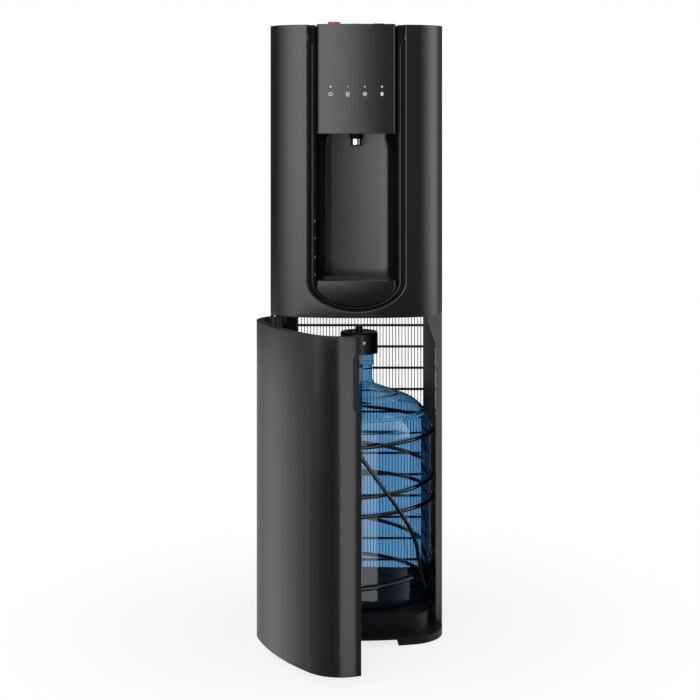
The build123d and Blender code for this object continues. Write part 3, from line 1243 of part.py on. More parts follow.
def bottle_cap():
    """Black pick-up cap: skirt over the neck, a stub on top and a barb to the left."""
    cap = post(BOTTLE_X, BOTTLE_Y, CAP_FOOT_Z, CAP_TOP_Z, CAP_R)
    cap = fillet(cap.edges().group_by(Axis.Z)[-1], 4)
    cap -= post(BOTTLE_X, BOTTLE_Y, CAP_FOOT_Z - CUT, BOTTLE_MOUTH_Z + 2 * RUN, BOTTLE_NECK_R + RUN)
    cap += post(BOTTLE_X, BOTTLE_Y, CAP_TOP_Z - 1, CAP_TOP_Z + STUB_H, STUB_R)
    cap += post(BOTTLE_X - 16, BOTTLE_Y - 6, CAP_TOP_Z - 1, CAP_TOP_Z + 3, 3.5)
    cap += rod_x(BOTTLE_Y, BARB_Z, BARB_X, BOTTLE_X - CAP_R + 3, HOSE_R - 0.5)
    cap -= post(BOTTLE_X, BOTTLE_Y, BOTTLE_MOUTH_Z - CUT, CAP_TOP_Z - CAP_END, PROBE_R + PIN_RUN)
    cap -= rod_y(BOTTLE_X + 9, VENT_Z, BOTTLE_Y - CAP_R - CUT, BOTTLE_Y - CAP_R + 4, 3)
    return cap


def cap_vent():
    """Small air valve in the cap's front."""
    return rod_y(BOTTLE_X + 9, VENT_Z, BOTTLE_Y - CAP_R - 0.6, BOTTLE_Y - CAP_R + 3.9, 2.9)


def probe_tube():
    """Pick-up tube from the cap to the bottle's floor."""
    z0 = PLATFORM_H + BOTTLE_WALL + 6
    return ring(BOTTLE_X, BOTTLE_Y, z0, CAP_TOP_Z - CAP_END, PROBE_R, PROBE_R - PROBE_WALL)


def around(radius, angle, z):
    """Point beside the bottle: angle in degrees from the front, positive towards the right."""
    a = radians(angle)
    return (BOTTLE_X + radius * sin(a), BOTTLE_Y - radius * cos(a), z)


def hose_edges():
    """From the cap's barb, round the bottle, up at the right and across to the deck."""
    r = BOTTLE_R + HOSE_R + HOSE_OFF
    outside = r + 2 * HOSE_R + 1.2
    points = [(BARB_X, BOTTLE_Y, BARB_Z), around(96, 265, 478), around(r - 3, 252, 428),
              around(r, 222, 378)]
    for i, z in enumerate(LOOP_HEIGHTS):
        points.append(around(r, LOOP_START - 90 * i, z))
    last = LOOP_START - 90 * (len(LOOP_HEIGHTS) - 1)
    points += [around(r, last - 50, 66), around(r + 1, last - 82, 56), around(r + 4, last - 108, 54)]
    points += [around(outside, last - 127, 66), around(outside, last - 133, 90),
               around(outside, last - 134, 130), around(outside, last - 138, 164),
               around(outside + 1, last - 158, 240), around(outside + 2, last - 178, 316),
               around(outside + 2, last - 203, 405), around(outside + 4, last - 220, 478)]
    points.append((HOSE_TOP_X, HOSE_TOP_Y, BAY_TOP - 3))
    return smooth(points, (-1, 0, 0), (0, 0, 1))


def supply_hose():
    edges = hose_edges()
    radii = [e.radius for e in edges if e.geom_type == GeomType.CIRCLE]
    step = 2.0
    gap = least_gap(samples(edges, step), 2 * HOSE_R, 8 * HOSE_R, step)
    hose = tube(Wire(edges), HOSE_R)
    length = sum(e.length for e in edges)
    beside = [p for p in samples(edges, step) if p.Z < BOTTLE_BODY_TOP]
    clear = min(hypot(p.X - BOTTLE_X, p.Y - BOTTLE_Y) for p in beside) - HOSE_R - BOTTLE_R
    print("hose: length %.0f mm, least bend %.1f mm, volume ratio %.4f"
          % (length, min(radii), hose.volume / (pi * HOSE_R ** 2 * length)))
    print("hose: least gap to itself %.2f mm, to the bottle %.2f mm" % (gap, clear))
    return hose


# ---------------------------------------------------------------- pieces
def whole(shape):
    """One node's solids as one shape."""
    if isinstance(shape, list):
        return Compound(children=[s for item in shape for s in item.solids()])
    return shape


PIECES = {
    "base_pan": base_pan,
    "bottom_plate": bottom_plate,
    "side_panel_left": lambda: side_panel(-1, REAR_FLANGE_LEFT),
    "side_panel_right": lambda: side_panel(1, REAR_FLANGE_RIGHT),
    "front_pillar_left": lambda: front_pillar(-1),
    "front_pillar_right": lambda: front_pillar(1),
    "mid_deck": mid_deck,
    "hinge_brackets": hinge_brackets,
    "door_skin": lambda: swung(door_skin()),
    "door_liner": lambda: swung(door_liner()),
    "door_pull_cup": lambda: swung(pull_cup()),
    "door_magnet": lambda: swung(magnet_block(0)),
    "door_bushes": lambda: swung(bushes()),
    "upper_fascia": upper_fascia,
    "channel_bezel": channel_bezel,
    "alcove_liner": alcove_liner,
    "nozzle_plate": nozzle_plate,
    "nozzle": nozzle,
    "control_head": control_head,
    "hot_button": lambda: button(-BUTTON_PITCH, HOT_PROUD),
    "room_button": lambda: button(0.0, COOL_PROUD),
    "cold_button": lambda: button(BUTTON_PITCH, COOL_PROUD),
    "button_carrier": button_carrier,
    "button_switches": button_switches,
    "button_springs": button_springs,
    "indicator_lenses": indicator_lenses,
    "indicator_board": indicator_board,
    "top_cover": top_cover,
    "drip_tray": drip_tray,
    "drip_grille": drip_grille,
    "dispense_manifold": manifold,
    "dispense_valves": dispense_valves,
    "water_lines": water_lines,
    "water_pump": water_pump,
    "hose_fitting": hose_fitting,
    "rear_screws": rear_screws,
    "tank_shelf": tank_shelf,
    "cold_tank": cold_tank,
    "tank_jackets": lambda: [cold_tank_jacket(), hot_tank_jacket()],
    "evaporator_coil": evaporator_coil,
    "hot_tank": hot_tank,
    "compressor": compressor,
    "compressor_grommets": compressor_grommets,
    "refrigerant_lines": lambda: refrigerant_lines() + [filter_drier()],
    "power_board": power_board,
    "condenser_tube": condenser_tube,
    "condenser_wires": condenser_wires,
    "condenser_brackets": condenser_brackets,
    "rear_cover": rear_cover,
    "power_inlet": power_inlet,
    "switch_housings": switch_housings,
    "hot_switch": lambda: rocker(ROCKER_X[0]),
    "cold_switch": lambda: rocker(ROCKER_X[1]),
    "drain_fitting": drain_fitting,
    "drain_cap": drain_cap,
    "water_bottle": water_bottle,
    "bottle_cap": bottle_cap,
    "cap_vent": cap_vent,
    "probe_tube": probe_tube,
    "supply_hose": supply_hose,
}

for name, make in PIECES.items():
    export_step(whole(make()), "parts/" + name + ".step")
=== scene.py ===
# %% [markdown]
# # A bottom load water cooler
# A tall graphite cabinet with a dispenser above and a curved door that stands open over a
# bottle bay.  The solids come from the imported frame; this lesson dresses them in finishes,
# adds what is too fine for them, and lights the whole like a studio photograph.

# %% Start
import json
import math

import bmesh
import bpy
import numpy as np
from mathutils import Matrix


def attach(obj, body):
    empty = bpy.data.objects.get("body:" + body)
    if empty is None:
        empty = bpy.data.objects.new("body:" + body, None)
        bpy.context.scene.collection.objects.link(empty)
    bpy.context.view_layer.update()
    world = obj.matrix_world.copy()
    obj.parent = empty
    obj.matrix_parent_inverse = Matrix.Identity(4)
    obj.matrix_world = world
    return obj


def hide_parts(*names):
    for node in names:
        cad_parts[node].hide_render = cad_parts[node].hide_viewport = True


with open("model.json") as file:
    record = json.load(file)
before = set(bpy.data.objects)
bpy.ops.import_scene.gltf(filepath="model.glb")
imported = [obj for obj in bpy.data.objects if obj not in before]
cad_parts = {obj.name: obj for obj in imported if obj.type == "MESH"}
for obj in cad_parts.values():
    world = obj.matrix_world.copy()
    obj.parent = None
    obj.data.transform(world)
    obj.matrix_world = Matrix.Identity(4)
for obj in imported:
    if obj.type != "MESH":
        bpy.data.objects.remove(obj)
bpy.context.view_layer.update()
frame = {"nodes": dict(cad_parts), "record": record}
nodes = frame["nodes"]
MM = 0.001

# %% [markdown]
# ## The camera
# A long lens, nearly three metres away and level with the control head.  The picture's centre
# lies lower than the head, so the lens is shifted instead of tilted and upright edges stay
# upright.

# %% Camera
FRAME_PX = 700
FOCAL_PX = 1616.0
SENSOR = 36.0
CAMERA_AT = (0.0, -2.919, 0.9146)
MIDDLE_PX = (356.35, 109.2)      # where the lens axis meets the picture

lens = bpy.data.cameras.new("camera")
lens.sensor_width = SENSOR
lens.lens = FOCAL_PX / FRAME_PX * SENSOR
lens.shift_x = (FRAME_PX / 2 - MIDDLE_PX[0]) / FRAME_PX
lens.shift_y = -(FRAME_PX / 2 - MIDDLE_PX[1]) / FRAME_PX
camera = bpy.data.objects.new("camera", lens)
camera.location = CAMERA_AT
camera.rotation_euler = (math.pi / 2, 0, 0)
bpy.context.scene.collection.objects.link(camera)
bpy.context.scene.camera = camera
bpy.context.scene.view_settings.view_transform = "Standard"
print("lens: %.1f mm, shift %.4f, %.4f" % (lens.lens, lens.shift_x, lens.shift_y))

# %% [markdown]
# ## Nodes and colours
# A few helpers serve every material.  They turn a colour as a designer writes it into the
# linear values that the renderer uses, add a shader node with its settings and links, work
# out a sum or a smooth step, and start an empty material.


# %% Helpers for materials
def linear(code):
    """sRGB hex to linear: below 0.04045 divided by 12.92, above by the 2.4 power curve."""
    parts = np.array([int(code[i:i + 2], 16) / 255 for i in (0, 2, 4)])
    curve = ((parts + 0.055) / 1.055) ** 2.4
    return (*np.where(parts <= 0.04045, parts / 12.92, curve).tolist(), 1.0)


def add(tree, kind, settings=None, **inputs):
    """Adds a node; a value goes to the input's socket, and an output socket is linked to it."""
    made = tree.nodes.new(kind)
    for key, value in (settings or {}).items():
        setattr(made, key, value)
    for key, value in inputs.items():
        socket = made.inputs[int(key[1:])] if key[1:].isdigit() else made.inputs[
            key.replace("_", " ")]
        if isinstance(value, bpy.types.NodeSocket):
            tree.links.new(value, socket)
        else:
            socket.default_value = value
    return made


def maths(tree, operation, *values):
    """One Math node on up to three values."""
    return add(tree, "ShaderNodeMath", {"operation": operation},
               **{"_%d" % i: value for i, value in enumerate(values)}).outputs[0]


def ramp(tree, value, start, end, low=0.0, high=1.0):
    """A smooth step, 3 t squared - 2 t cubed, from low at the start to high at the end."""
    return add(tree, "ShaderNodeMapRange", {"interpolation_type": "SMOOTHSTEP"}, _0=value,
               _1=start, _2=end, _3=low, _4=high).outputs[0]


def blank(name):
    """An empty material."""
    made = bpy.data.materials.new(name)
    made.use_nodes = True
    made.node_tree.nodes.clear()
    return made, made.node_tree


# %% [markdown]
# ## The hose
# A black hose of 7 mm leaves the cap's barb, winds four turns down round the bottle, turns up
# at the right and crosses the front to its fitting in the deck.  A cord looks real when it is
# one smooth line of its true length, so it is a NURBS spline.  Its turns are points on a
# helix whose height follows the quarter turns of the solid.  The rise is a list of points by
# radius, degrees turned since the last quarter, and height.  Such a spline runs a little
# inside its points, which is why those of the turns stand out by the cosine of half a step.

# %% Hose
BOTTLE_AT = (5.0, 8.0)
HOSE_R = 3.5
WOUND_R = 134.7                  # middle of the hose where it lies round the bottle
QUARTER_HEIGHTS = np.array([405, 357, 342, 329, 308, 284, 262, 243, 238, 230, 221, 209, 178,
                            144, 110, 84, 78, 74, 55, 55], float)
FIRST_QUARTER = 270              # degrees from the front, positive towards the right
QUARTERS = 17                    # quarter turns that lie round the bottle
END_ANGLE = FIRST_QUARTER - 90 * QUARTERS
STEPS = 4                        # points in a quarter turn
BARB_AND_DOWN = [(-41, 8, 490), (-66, 8, 490), (-88, 12, 476), (-106, 24, 448), (-112, 50, 416)]
RISE = [(138.6, 68, 58), (140.4, 90, 54), (145, 109, 54), (147, 125, 66), (147, 132, 92),
        (146.5, 134.5, 130), (146, 138, 166), (147.5, 147, 202), (149, 158, 241),
        (149.5, 169, 280), (149.5, 180, 320), (150, 192, 364), (150, 204, 408), (149, 214, 446)]
INTO_DECK = [(-99, -101, 486), (-105, -91, 520), (-105, -90, 556)]
POINT_RADIUS = 0.004             # a curve's box reaches this far past its points


def beside(radius, degrees, height):
    """Points beside the bottle: x = r sin a, y = -r cos a about its middle, in metres."""
    a = np.radians(degrees)
    return np.stack(np.broadcast_arrays(BOTTLE_AT[0] + radius * np.sin(a),
                                        BOTTLE_AT[1] - radius * np.cos(a), height), -1) * MM


def between_quarters(turn):
    """Height by Catmull and Rom's cubic: it meets each quarter's height on a common slope."""
    i = np.clip(np.floor(turn).astype(int), 0, len(QUARTER_HEIGHTS) - 2)
    t = turn - i
    h = np.concatenate([QUARTER_HEIGHTS[:1], QUARTER_HEIGHTS, QUARTER_HEIGHTS[-1:]])
    a, b, c, d = h[i], h[i + 1], h[i + 2], h[i + 3]
    return 0.5 * (2 * b + (c - a) * t + (2 * a - 5 * b + 4 * c - d) * t ** 2
                  + (3 * b - a - 3 * c + d) * t ** 3)


turn = np.arange(2, QUARTERS * STEPS + 3) / STEPS
angle = FIRST_QUARTER - 90 * turn
wound = beside(WOUND_R / math.cos(math.radians(45 / STEPS)), angle, between_quarters(turn))
rise_r, rise_turned, rise_z = np.array(RISE).T
rise = beside(rise_r, END_ANGLE - rise_turned, rise_z)
route = np.concatenate([np.array(BARB_AND_DOWN) * MM, wound, rise, np.array(INTO_DECK) * MM])

hose_line = bpy.data.curves.new("hose_line", "CURVE")
hose_line.dimensions = "3D"
hose_line.bevel_depth = HOSE_R * MM / POINT_RADIUS
hose_line.bevel_resolution = 5
hose_line.use_fill_caps = True
spline = hose_line.splines.new("NURBS")
spline.points.add(len(route) - 1)
spline.points.foreach_set("co", np.c_[route, np.ones(len(route))].ravel())
spline.points.foreach_set("radius", np.full(len(route), POINT_RADIUS))
spline.order_u = 3
spline.use_endpoint_u = True
spline.resolution_u = 8
hose = bpy.data.objects.new("bottle_hose", hose_line)
bpy.context.scene.collection.objects.link(hose)
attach(hose, "cabinet")
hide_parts("supply_hose")
print("hose:", len(route), "points")

# %% [markdown]
# ## The studio
# Long soft boxes stand left and right of the camera and dark gaps between them.  A satin
# surface shows them as upright bands of light, which is what gives dark plastic its form.
# They could be lamps, but a band that fades sideways is easier to draw in the world, as light
# by direction.  Each band has four angles, where it begins, is full, starts to fade and ends,
# and a strength.  One set lights what the upright cabinet reflects.  The other, below the
# horizon, is for what the door and the bottle show, which are seen from above.

# %% Bands of light
GLOOM = 0.05                             # what the dark parts of the room still give
ABOVE = [(-117, -29, -15, 16, 3.0),      # the long soft box at the left
         (46, 94, 96, 130, 2.2),         # a narrower one at the right
         (-15, 20, 130, 160, 0.15)]      # the grey wall between and beyond them
BELOW = [(-147, -125, -121, -94, 0.65),  # a box at the left, further back than the object
         (-200, -190, -105, -20, 0.38),  # the pale floor at the left
         (45, 105, 190, 200, 0.45),      # and at the right
         (-200, -190, -165, -150, 0.27),     # and brighter behind the object, from the left
         (130, 170, 190, 200, 0.2)]      # and from the right


def light_by_azimuth(tree, azimuth, bands):
    """The sum of all bands: each rises and fades by smooth steps between its four angles."""
    total = GLOOM
    for start, full, fading, end, light in bands:
        rising = ramp(tree, azimuth, start, full, 0.0, light)
        total = maths(tree, "MULTIPLY_ADD", rising, ramp(tree, azimuth, fading, end, 1.0, 0.0),
                      total)
    return total


# %% World by direction
CROSSING = (-8.8, -7.2)          # degrees over the horizon where one set gives way to the other
OVERHEAD = (25.0, 50.0)          # degrees where both give way to the white ceiling

world = bpy.data.worlds.new("studio")
bpy.context.scene.world = world
world.use_nodes = True
tree = world.node_tree
tree.nodes.clear()
place = add(tree, "ShaderNodeTexCoord")
split = add(tree, "ShaderNodeSeparateXYZ", _0=place.outputs["Generated"])
backwards = maths(tree, "MULTIPLY", split.outputs["Y"], -1.0)
azimuth = maths(tree, "DEGREES", maths(tree, "ARCTAN2", split.outputs["X"], backwards))
height = split.outputs["Z"]
above = ramp(tree, height, *(math.sin(math.radians(a)) for a in CROSSING))
overhead = ramp(tree, height, *(math.sin(math.radians(a)) for a in OVERHEAD))
side = add(tree, "ShaderNodeMix", _0=above, _2=light_by_azimuth(tree, azimuth, BELOW),
           _3=light_by_azimuth(tree, azimuth, ABOVE))
bands = add(tree, "ShaderNodeMix", _0=overhead, _2=side.outputs[0], _3=1.0).outputs[0]
print("studio:", len(ABOVE), "bands above and", len(BELOW), "below")

# %% [markdown]
# ## What each ray sees
# The camera sees plain white, and so does a ray that went straight through the bottle.
# Mirrored rays see the bands as they are.  Scattered rays see them softened and raised, or
# the dark plastic would lose its colour.

# %% World by ray
SOFTENED, RAISED = 0.45, 0.5

ray = add(tree, "ShaderNodeLightPath")
soft = maths(tree, "MULTIPLY_ADD", bands, SOFTENED, RAISED)
scattered = maths(tree, "MAXIMUM", ray.outputs["Is Diffuse Ray"],
                  maths(tree, "MINIMUM", ray.outputs["Diffuse Depth"], 1.0))
level = add(tree, "ShaderNodeMix", _0=scattered, _2=bands, _3=soft)
studio = add(tree, "ShaderNodeBackground", Color=(1, 1, 1, 1), Strength=level.outputs[0])
white = add(tree, "ShaderNodeBackground", Color=(1, 1, 1, 1), Strength=1.0)
unturned = maths(tree, "LESS_THAN", maths(tree, "ADD", ray.outputs["Glossy Depth"],
                                          ray.outputs["Diffuse Depth"]), 0.5)
through = maths(tree, "MULTIPLY", ray.outputs["Is Transmission Ray"], unturned)
seen = maths(tree, "MAXIMUM", ray.outputs["Is Camera Ray"], through)
both = add(tree, "ShaderNodeMixShader", _0=seen, _1=studio.outputs[0], _2=white.outputs[0])
add(tree, "ShaderNodeOutputWorld", Surface=both.outputs[0])
print("world:", len(tree.nodes), "shader nodes")

# %% [markdown]
# ## A soft box that stands close
# The tall light strip in the bottle and the bright right half of the door are one box.  It
# stands under a metre away, so door and bottle see it at different angles, which a world
# can't give.  It is a card of light that only reflections see.  The tray, the base and the
# front of the cabinet are kept off it by light linking.

# %% Close soft box
BOX_ENDS = ((0.473, -0.909), (-0.054, -1.095))   # in the plan, in metres
BOX_FOOT, BOX_HEAD = -0.25, 0.475
BOX_LIGHT = 1.75


def lone_mesh(name, points, faces):
    """An object made from points in metres and faces."""
    mesh = bpy.data.meshes.new(name)
    mesh.from_pydata(np.asarray(points).tolist(), [], faces)
    made = bpy.data.objects.new(name, mesh)
    bpy.context.scene.collection.objects.link(made)
    return made


def reflected_card(name, ends, foot, head, skin):
    """An upright rectangle over two places in the plan, which only reflections see."""
    made = lone_mesh(name, [(*ends[0], foot), (*ends[1], foot), (*ends[1], head),
                            (*ends[0], head)], [(0, 1, 2, 3)])
    made.data.materials.append(skin)
    for kind in ("camera", "diffuse", "transmission", "shadow", "volume_scatter"):
        setattr(made, "visible_" + kind, False)
    return made


box_skin, tree = blank("soft_box_light")
glow = add(tree, "ShaderNodeEmission", Color=(1, 1, 1, 1), Strength=BOX_LIGHT)
add(tree, "ShaderNodeOutputMaterial", Surface=glow.outputs[0])
soft_box = reflected_card("soft_box", BOX_ENDS, BOX_FOOT, BOX_HEAD, box_skin)
kept_off = bpy.data.collections.new("kept_off_the_soft_box")
for name in ("drip_tray", "base_pan", "channel_bezel", "upper_fascia"):
    kept_off.objects.link(nodes[name])
for entry in kept_off.collection_objects:
    entry.light_linking.link_state = "EXCLUDE"
soft_box.light_linking.receiver_collection = kept_off

# %% [markdown]
# ## A net beside the door
# The long box at the left would reach into the door's dark middle.  A photographer hangs a
# flag of black net there, which takes light away and has no hard edge.  This one is dense at
# its right and its head, and fades to nothing towards its left and its foot.

# %% Net
NET_ENDS = ((-0.280, -0.404), (-0.060, -0.585))
NET_FOOT, NET_HEAD = -0.05, 0.542
NET_FULL_X, NET_FULL_Z = -0.15, 0.3              # it is dense from here on
NET_LIGHT = 0.09                                 # what it sends back itself

net_skin, tree = blank("black_net")
place = add(tree, "ShaderNodeTexCoord")
split = add(tree, "ShaderNodeSeparateXYZ", _0=place.outputs["Object"])
cover = maths(tree, "MULTIPLY", ramp(tree, split.outputs["X"], NET_ENDS[0][0], NET_FULL_X),
              ramp(tree, split.outputs["Z"], NET_FOOT, NET_FULL_Z))
dim = add(tree, "ShaderNodeEmission", Color=(1, 1, 1, 1), Strength=NET_LIGHT)
clear = add(tree, "ShaderNodeBsdfTransparent")
mixed = add(tree, "ShaderNodeMixShader", _0=cover, _1=clear.outputs[0], _2=dim.outputs[0])
add(tree, "ShaderNodeOutputMaterial", Surface=mixed.outputs[0])
flag = reflected_card("flag", NET_ENDS, NET_FOOT, NET_HEAD, net_skin)
print("net: %.0f mm high" % ((NET_HEAD - NET_FOOT) / MM))

# %% [markdown]
# ## The floor
# A pale sweep of card.  It keeps the object's soft shadow and fades into the white around it.

# %% Floor
FLOOR_HALF = 6.0
FADE_FROM, FADE_TO = 0.25, 0.75  # metres from the middle
CARD_SHARE = 0.22                # how much of the card's own shading shows near the object
floor = lone_mesh("floor", [(-FLOOR_HALF, -FLOOR_HALF, 0), (FLOOR_HALF, -FLOOR_HALF, 0),
                            (FLOOR_HALF, FLOOR_HALF, 0), (-FLOOR_HALF, FLOOR_HALF, 0)],
                  [(0, 1, 2, 3)])
card, tree = blank("white_card")
place = add(tree, "ShaderNodeTexCoord")
away = add(tree, "ShaderNodeVectorMath", {"operation": "LENGTH"}, _0=place.outputs["Object"])
fade = ramp(tree, away.outputs["Value"], FADE_FROM, FADE_TO, CARD_SHARE, 0.0)
surface = add(tree, "ShaderNodeBsdfPrincipled", Base_Color=linear("f6f6f6"), Roughness=0.9)
surface.inputs["Specular IOR Level"].default_value = 0.0
glow = add(tree, "ShaderNodeEmission", Color=(1, 1, 1, 1), Strength=1.0)
mixed = add(tree, "ShaderNodeMixShader", _0=fade, _1=glow.outputs[0], _2=surface.outputs[0])
add(tree, "ShaderNodeOutputMaterial", Surface=mixed.outputs[0])
floor.data.materials.append(card)
floor.visible_glossy = False
floor.visible_transmission = False      # or the bottle's inner wall mirrors it
print("floor: %.0f m wide" % (2 * FLOOR_HALF))

# %% [markdown]
# ## Finishes
# Nearly every surface here is a moulded or painted one.  On the real cooler the mould was
# spark-eroded, so the plastic has a fine grain, its gloss drifts over a hand's breadth, and
# its edges are rounded by under a millimetre.  One function makes them all: a noise of the
# grain's real size as bump, a broad noise for drift, and a bevel for the edges.


# %% Finishes
DRIFT_SCALE = 14.0               # the broad noise has a wave in about 70 mm
TONE_DRIFT, GLOSS_DRIFT = 0.08, 0.06     # shares by which tone and gloss drift either way
GRAIN_HEIGHT = 0.0002            # metres, before a finish's own depth


def finish(name, code, rough, metal=0.0, ior=1.5, grain_mm=0.6, depth=0.1, edge_mm=0.0,
           shine=0.5, painted_shade_beyond=0.0):
    """Principled surface: a fine noise bumps it and a broad one drifts its tone and gloss.
    Further than the last argument, in millimetres, from the middle plane it has no shine, which
    paints shade there."""
    made, tree = blank(name)
    place = add(tree, "ShaderNodeTexCoord")
    fine = add(tree, "ShaderNodeTexNoise", Vector=place.outputs["Object"],
               Scale=1 / (grain_mm * MM), Detail=2.0)
    broad = add(tree, "ShaderNodeTexNoise", Vector=place.outputs["Object"], Scale=DRIFT_SCALE,
                Detail=4.0)
    shade = linear(code)
    dark = tuple(c * (1 - TONE_DRIFT) for c in shade[:3]) + (1,)
    light = tuple(c * (1 + TONE_DRIFT) for c in shade[:3]) + (1,)
    tone = add(tree, "ShaderNodeMix", {"data_type": "RGBA"}, _0=broad.outputs[0], _6=dark,
               _7=light)
    gloss = add(tree, "ShaderNodeMapRange", _0=broad.outputs[0], _1=0.3, _2=0.7,
                _3=rough * (1 - GLOSS_DRIFT), _4=rough * (1 + GLOSS_DRIFT))
    bump = add(tree, "ShaderNodeBump", Strength=depth, Distance=GRAIN_HEIGHT,
               Height=fine.outputs[0])
    skin = add(tree, "ShaderNodeBsdfPrincipled", Base_Color=tone.outputs[2],
               Roughness=gloss.outputs[0], Normal=bump.outputs[0], Metallic=metal)
    if not metal:
        skin.inputs["IOR"].default_value = ior
        skin.inputs["Specular IOR Level"].default_value = shine
    # Painted shade: past this distance from the middle plane the shine is taken away, so the part
    # looks shaded there.
    if painted_shade_beyond:
        split = add(tree, "ShaderNodeSeparateXYZ", _0=place.outputs["Object"])
        inside = maths(tree, "LESS_THAN", maths(tree, "ABSOLUTE", split.outputs["X"]),
                       painted_shade_beyond * MM)
        tree.links.new(maths(tree, "MULTIPLY", inside, shine),
                       skin.inputs["Specular IOR Level"])
    if edge_mm:
        rounded = add(tree, "ShaderNodeBevel", {"samples": 6}, Radius=edge_mm * MM)
        tree.links.new(rounded.outputs[0], bump.inputs["Normal"])
    add(tree, "ShaderNodeOutputMaterial", Surface=skin.outputs[0])
    return made


graphite = finish("moulded_abs_graphite", "131314", 0.2, ior=1.54, depth=0.04, edge_mm=0.9)
black = finish("textured_abs_black", "0e0e0f", 0.36, ior=1.5, edge_mm=0.6)
matt = finish("matt_abs_black", "0a0a0b", 0.5, shine=0.12, edge_mm=0.6)
paint = finish("powder_coated_steel_graphite", "161617", 0.28, ior=1.52, grain_mm=1.6,
               edge_mm=0.6)
zinc = finish("galvanised_steel", "b4b6b8", 0.4, metal=1.0, grain_mm=3.0)
chrome = finish("chromed_brass", "e6e6e8", 0.06, metal=1.0, depth=0.02)
red = finish("glossy_abs_red", "c21a18", 0.25, edge_mm=0.5)
blue = finish("glossy_abs_blue", "1f58c4", 0.25, edge_mm=0.5)
ivory = finish("acetal_white", "d8d8d3", 0.35, edge_mm=0.5)
copper = finish("drawn_copper", "c58a6a", 0.3, metal=1.0)
steel = finish("drawn_stainless_steel", "b9bab8", 0.28, metal=1.0)
enamel = finish("black_enamelled_steel", "0e0e0f", 0.35)
rubber = finish("moulded_nitrile_rubber", "1c1c1c", 0.7)
foam = finish("expanded_polystyrene", "dcdcd8", 0.85, grain_mm=3.5, depth=0.5)
silicone = finish("silicone_tube", "c9ccca", 0.45)
board = finish("fibreglass_board", "1b5a33", 0.4)
nylon = finish("glass_filled_nylon", "2a2a2c", 0.5)
hose_skin = finish("black_pvc_hose", "0b0c0e", 0.1, ior=1.53, grain_mm=1.2, depth=0.02)
lens_clear = finish("clear_acrylic_lens", "c4c4bc", 0.2)
hose.data.materials.append(hose_skin)
print("finishes:", len(bpy.data.materials))

# %% [markdown]
# ## Blue polycarbonate
# The bottle's wall is thin and clear, and takes nearly half the blue light and nine tenths of
# the red in passing both sides.  The tint sits in the colour of a transmitting surface, whose square
# root counts at each of the four faces that a ray crosses.

# %% Bottle plastic
bottle_blue, tree = blank("blue_polycarbonate")
place = add(tree, "ShaderNodeTexCoord")
drift = add(tree, "ShaderNodeTexNoise", Vector=place.outputs["Object"], Scale=9.0, Detail=3.0)
ripple = add(tree, "ShaderNodeBump", Strength=0.02, Distance=0.002, Height=drift.outputs[0])
tone = add(tree, "ShaderNodeMix", {"data_type": "RGBA"}, _0=drift.outputs[0],
           _6=linear("8fc0e1"), _7=linear("9bc9e6"))
skin = add(tree, "ShaderNodeBsdfPrincipled", Base_Color=tone.outputs[2], Roughness=0.015,
           IOR=1.58, Normal=ripple.outputs[0])
skin.inputs["Transmission Weight"].default_value = 1.0
add(tree, "ShaderNodeOutputMaterial", Surface=skin.outputs[0])

# %% [markdown]
# ## Every solid gets its finish
# The record names a slot for each solid, and a table gives each slot its finish.  Four pieces
# differ from their slot.  The bezel is matt and the base duller, as on the real cooler.  The
# head and the alcove's liner run on into the shaded flanks of the channels.  That shade is
# painted: their finish loses its shine beyond the alcove's half width.

# %% Dress the solids
ALCOVE_HALF = 67.1
BY_SLOT = {
    "graphite_plastic": graphite, "graphite_paint": paint, "black_plastic": black,
    "zinc_steel": zinc, "bright_chrome": chrome, "red_plastic": red, "white_plastic": ivory,
    "blue_plastic": blue, "spring_steel": steel, "switch_plastic": nylon,
    "lamp_lens": lens_clear, "circuit_board": board, "silicone": silicone, "stainless": steel,
    "foam": foam, "copper": copper, "soft_rubber": rubber, "condenser_paint": enamel,
    "bottle_blue": bottle_blue, "hose_black": hose_skin, "clear_plastic": lens_clear,
}
for part in frame["record"]["subparts"]:
    piece = nodes[part["node"]]
    piece.data.materials.clear()
    piece.data.materials.append(BY_SLOT[part["material_slot"]])
# Painted shade: this graphite loses its shine beyond the alcove's half width, where the head and the
# liner run into the channels' shaded flanks.
niche_painted_shade_skin = finish("moulded_abs_graphite_niche_painted_shade", "131314", 0.2, ior=1.54, depth=0.04,
                    edge_mm=0.9, painted_shade_beyond=ALCOVE_HALF)
nodes["channel_bezel"].data.materials[0] = matt
nodes["base_pan"].data.materials[0] = finish("moulded_abs_graphite_base", "141415", 0.4,
                                             shine=0.22, edge_mm=0.9)
for name in ("alcove_liner", "control_head"):
    nodes[name].data.materials[0] = niche_painted_shade_skin

# %% [markdown]
# ## Shapes from grids
# New pieces are grids of points worked out at once with numpy.  One function makes the mesh,
# joins the lines that meet, turns the faces outwards and hands the piece to its body.


# %% Grid to mesh
def piece_from(name, grids, finish_of, body, across=True, along=False, sharp=40):
    """Rows by columns of points, in millimetres; a closed direction joins its end to its
    start, and points that meet become one."""
    built = bmesh.new()
    for grid in grids:
        rows, columns = grid.shape[:2]
        number = np.arange(rows * columns).reshape(rows, columns)
        if across:
            number = np.c_[number, number[:, :1]]
        if along:
            number = np.r_[number, number[:1]]
        corners = np.stack([number[:-1, :-1], number[:-1, 1:], number[1:, 1:], number[1:, :-1]],
                           -1).reshape(-1, 4)
        verts = [built.verts.new(p) for p in (grid.reshape(-1, 3) * MM).tolist()]
        for corner in corners.tolist():
            built.faces.new([verts[i] for i in corner])
    bmesh.ops.remove_doubles(built, verts=built.verts, dist=1e-7)
    bmesh.ops.recalc_face_normals(built, faces=built.faces)
    mesh = bpy.data.meshes.new(name)
    built.to_mesh(mesh)
    built.free()
    mesh.shade_smooth()
    mesh.set_sharp_from_angle(angle=math.radians(sharp))
    made = bpy.data.objects.new(name, mesh)
    bpy.context.scene.collection.objects.link(made)
    mesh.materials.append(finish_of)
    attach(made, body)
    print(name, len(mesh.polygons), "faces")
    return made


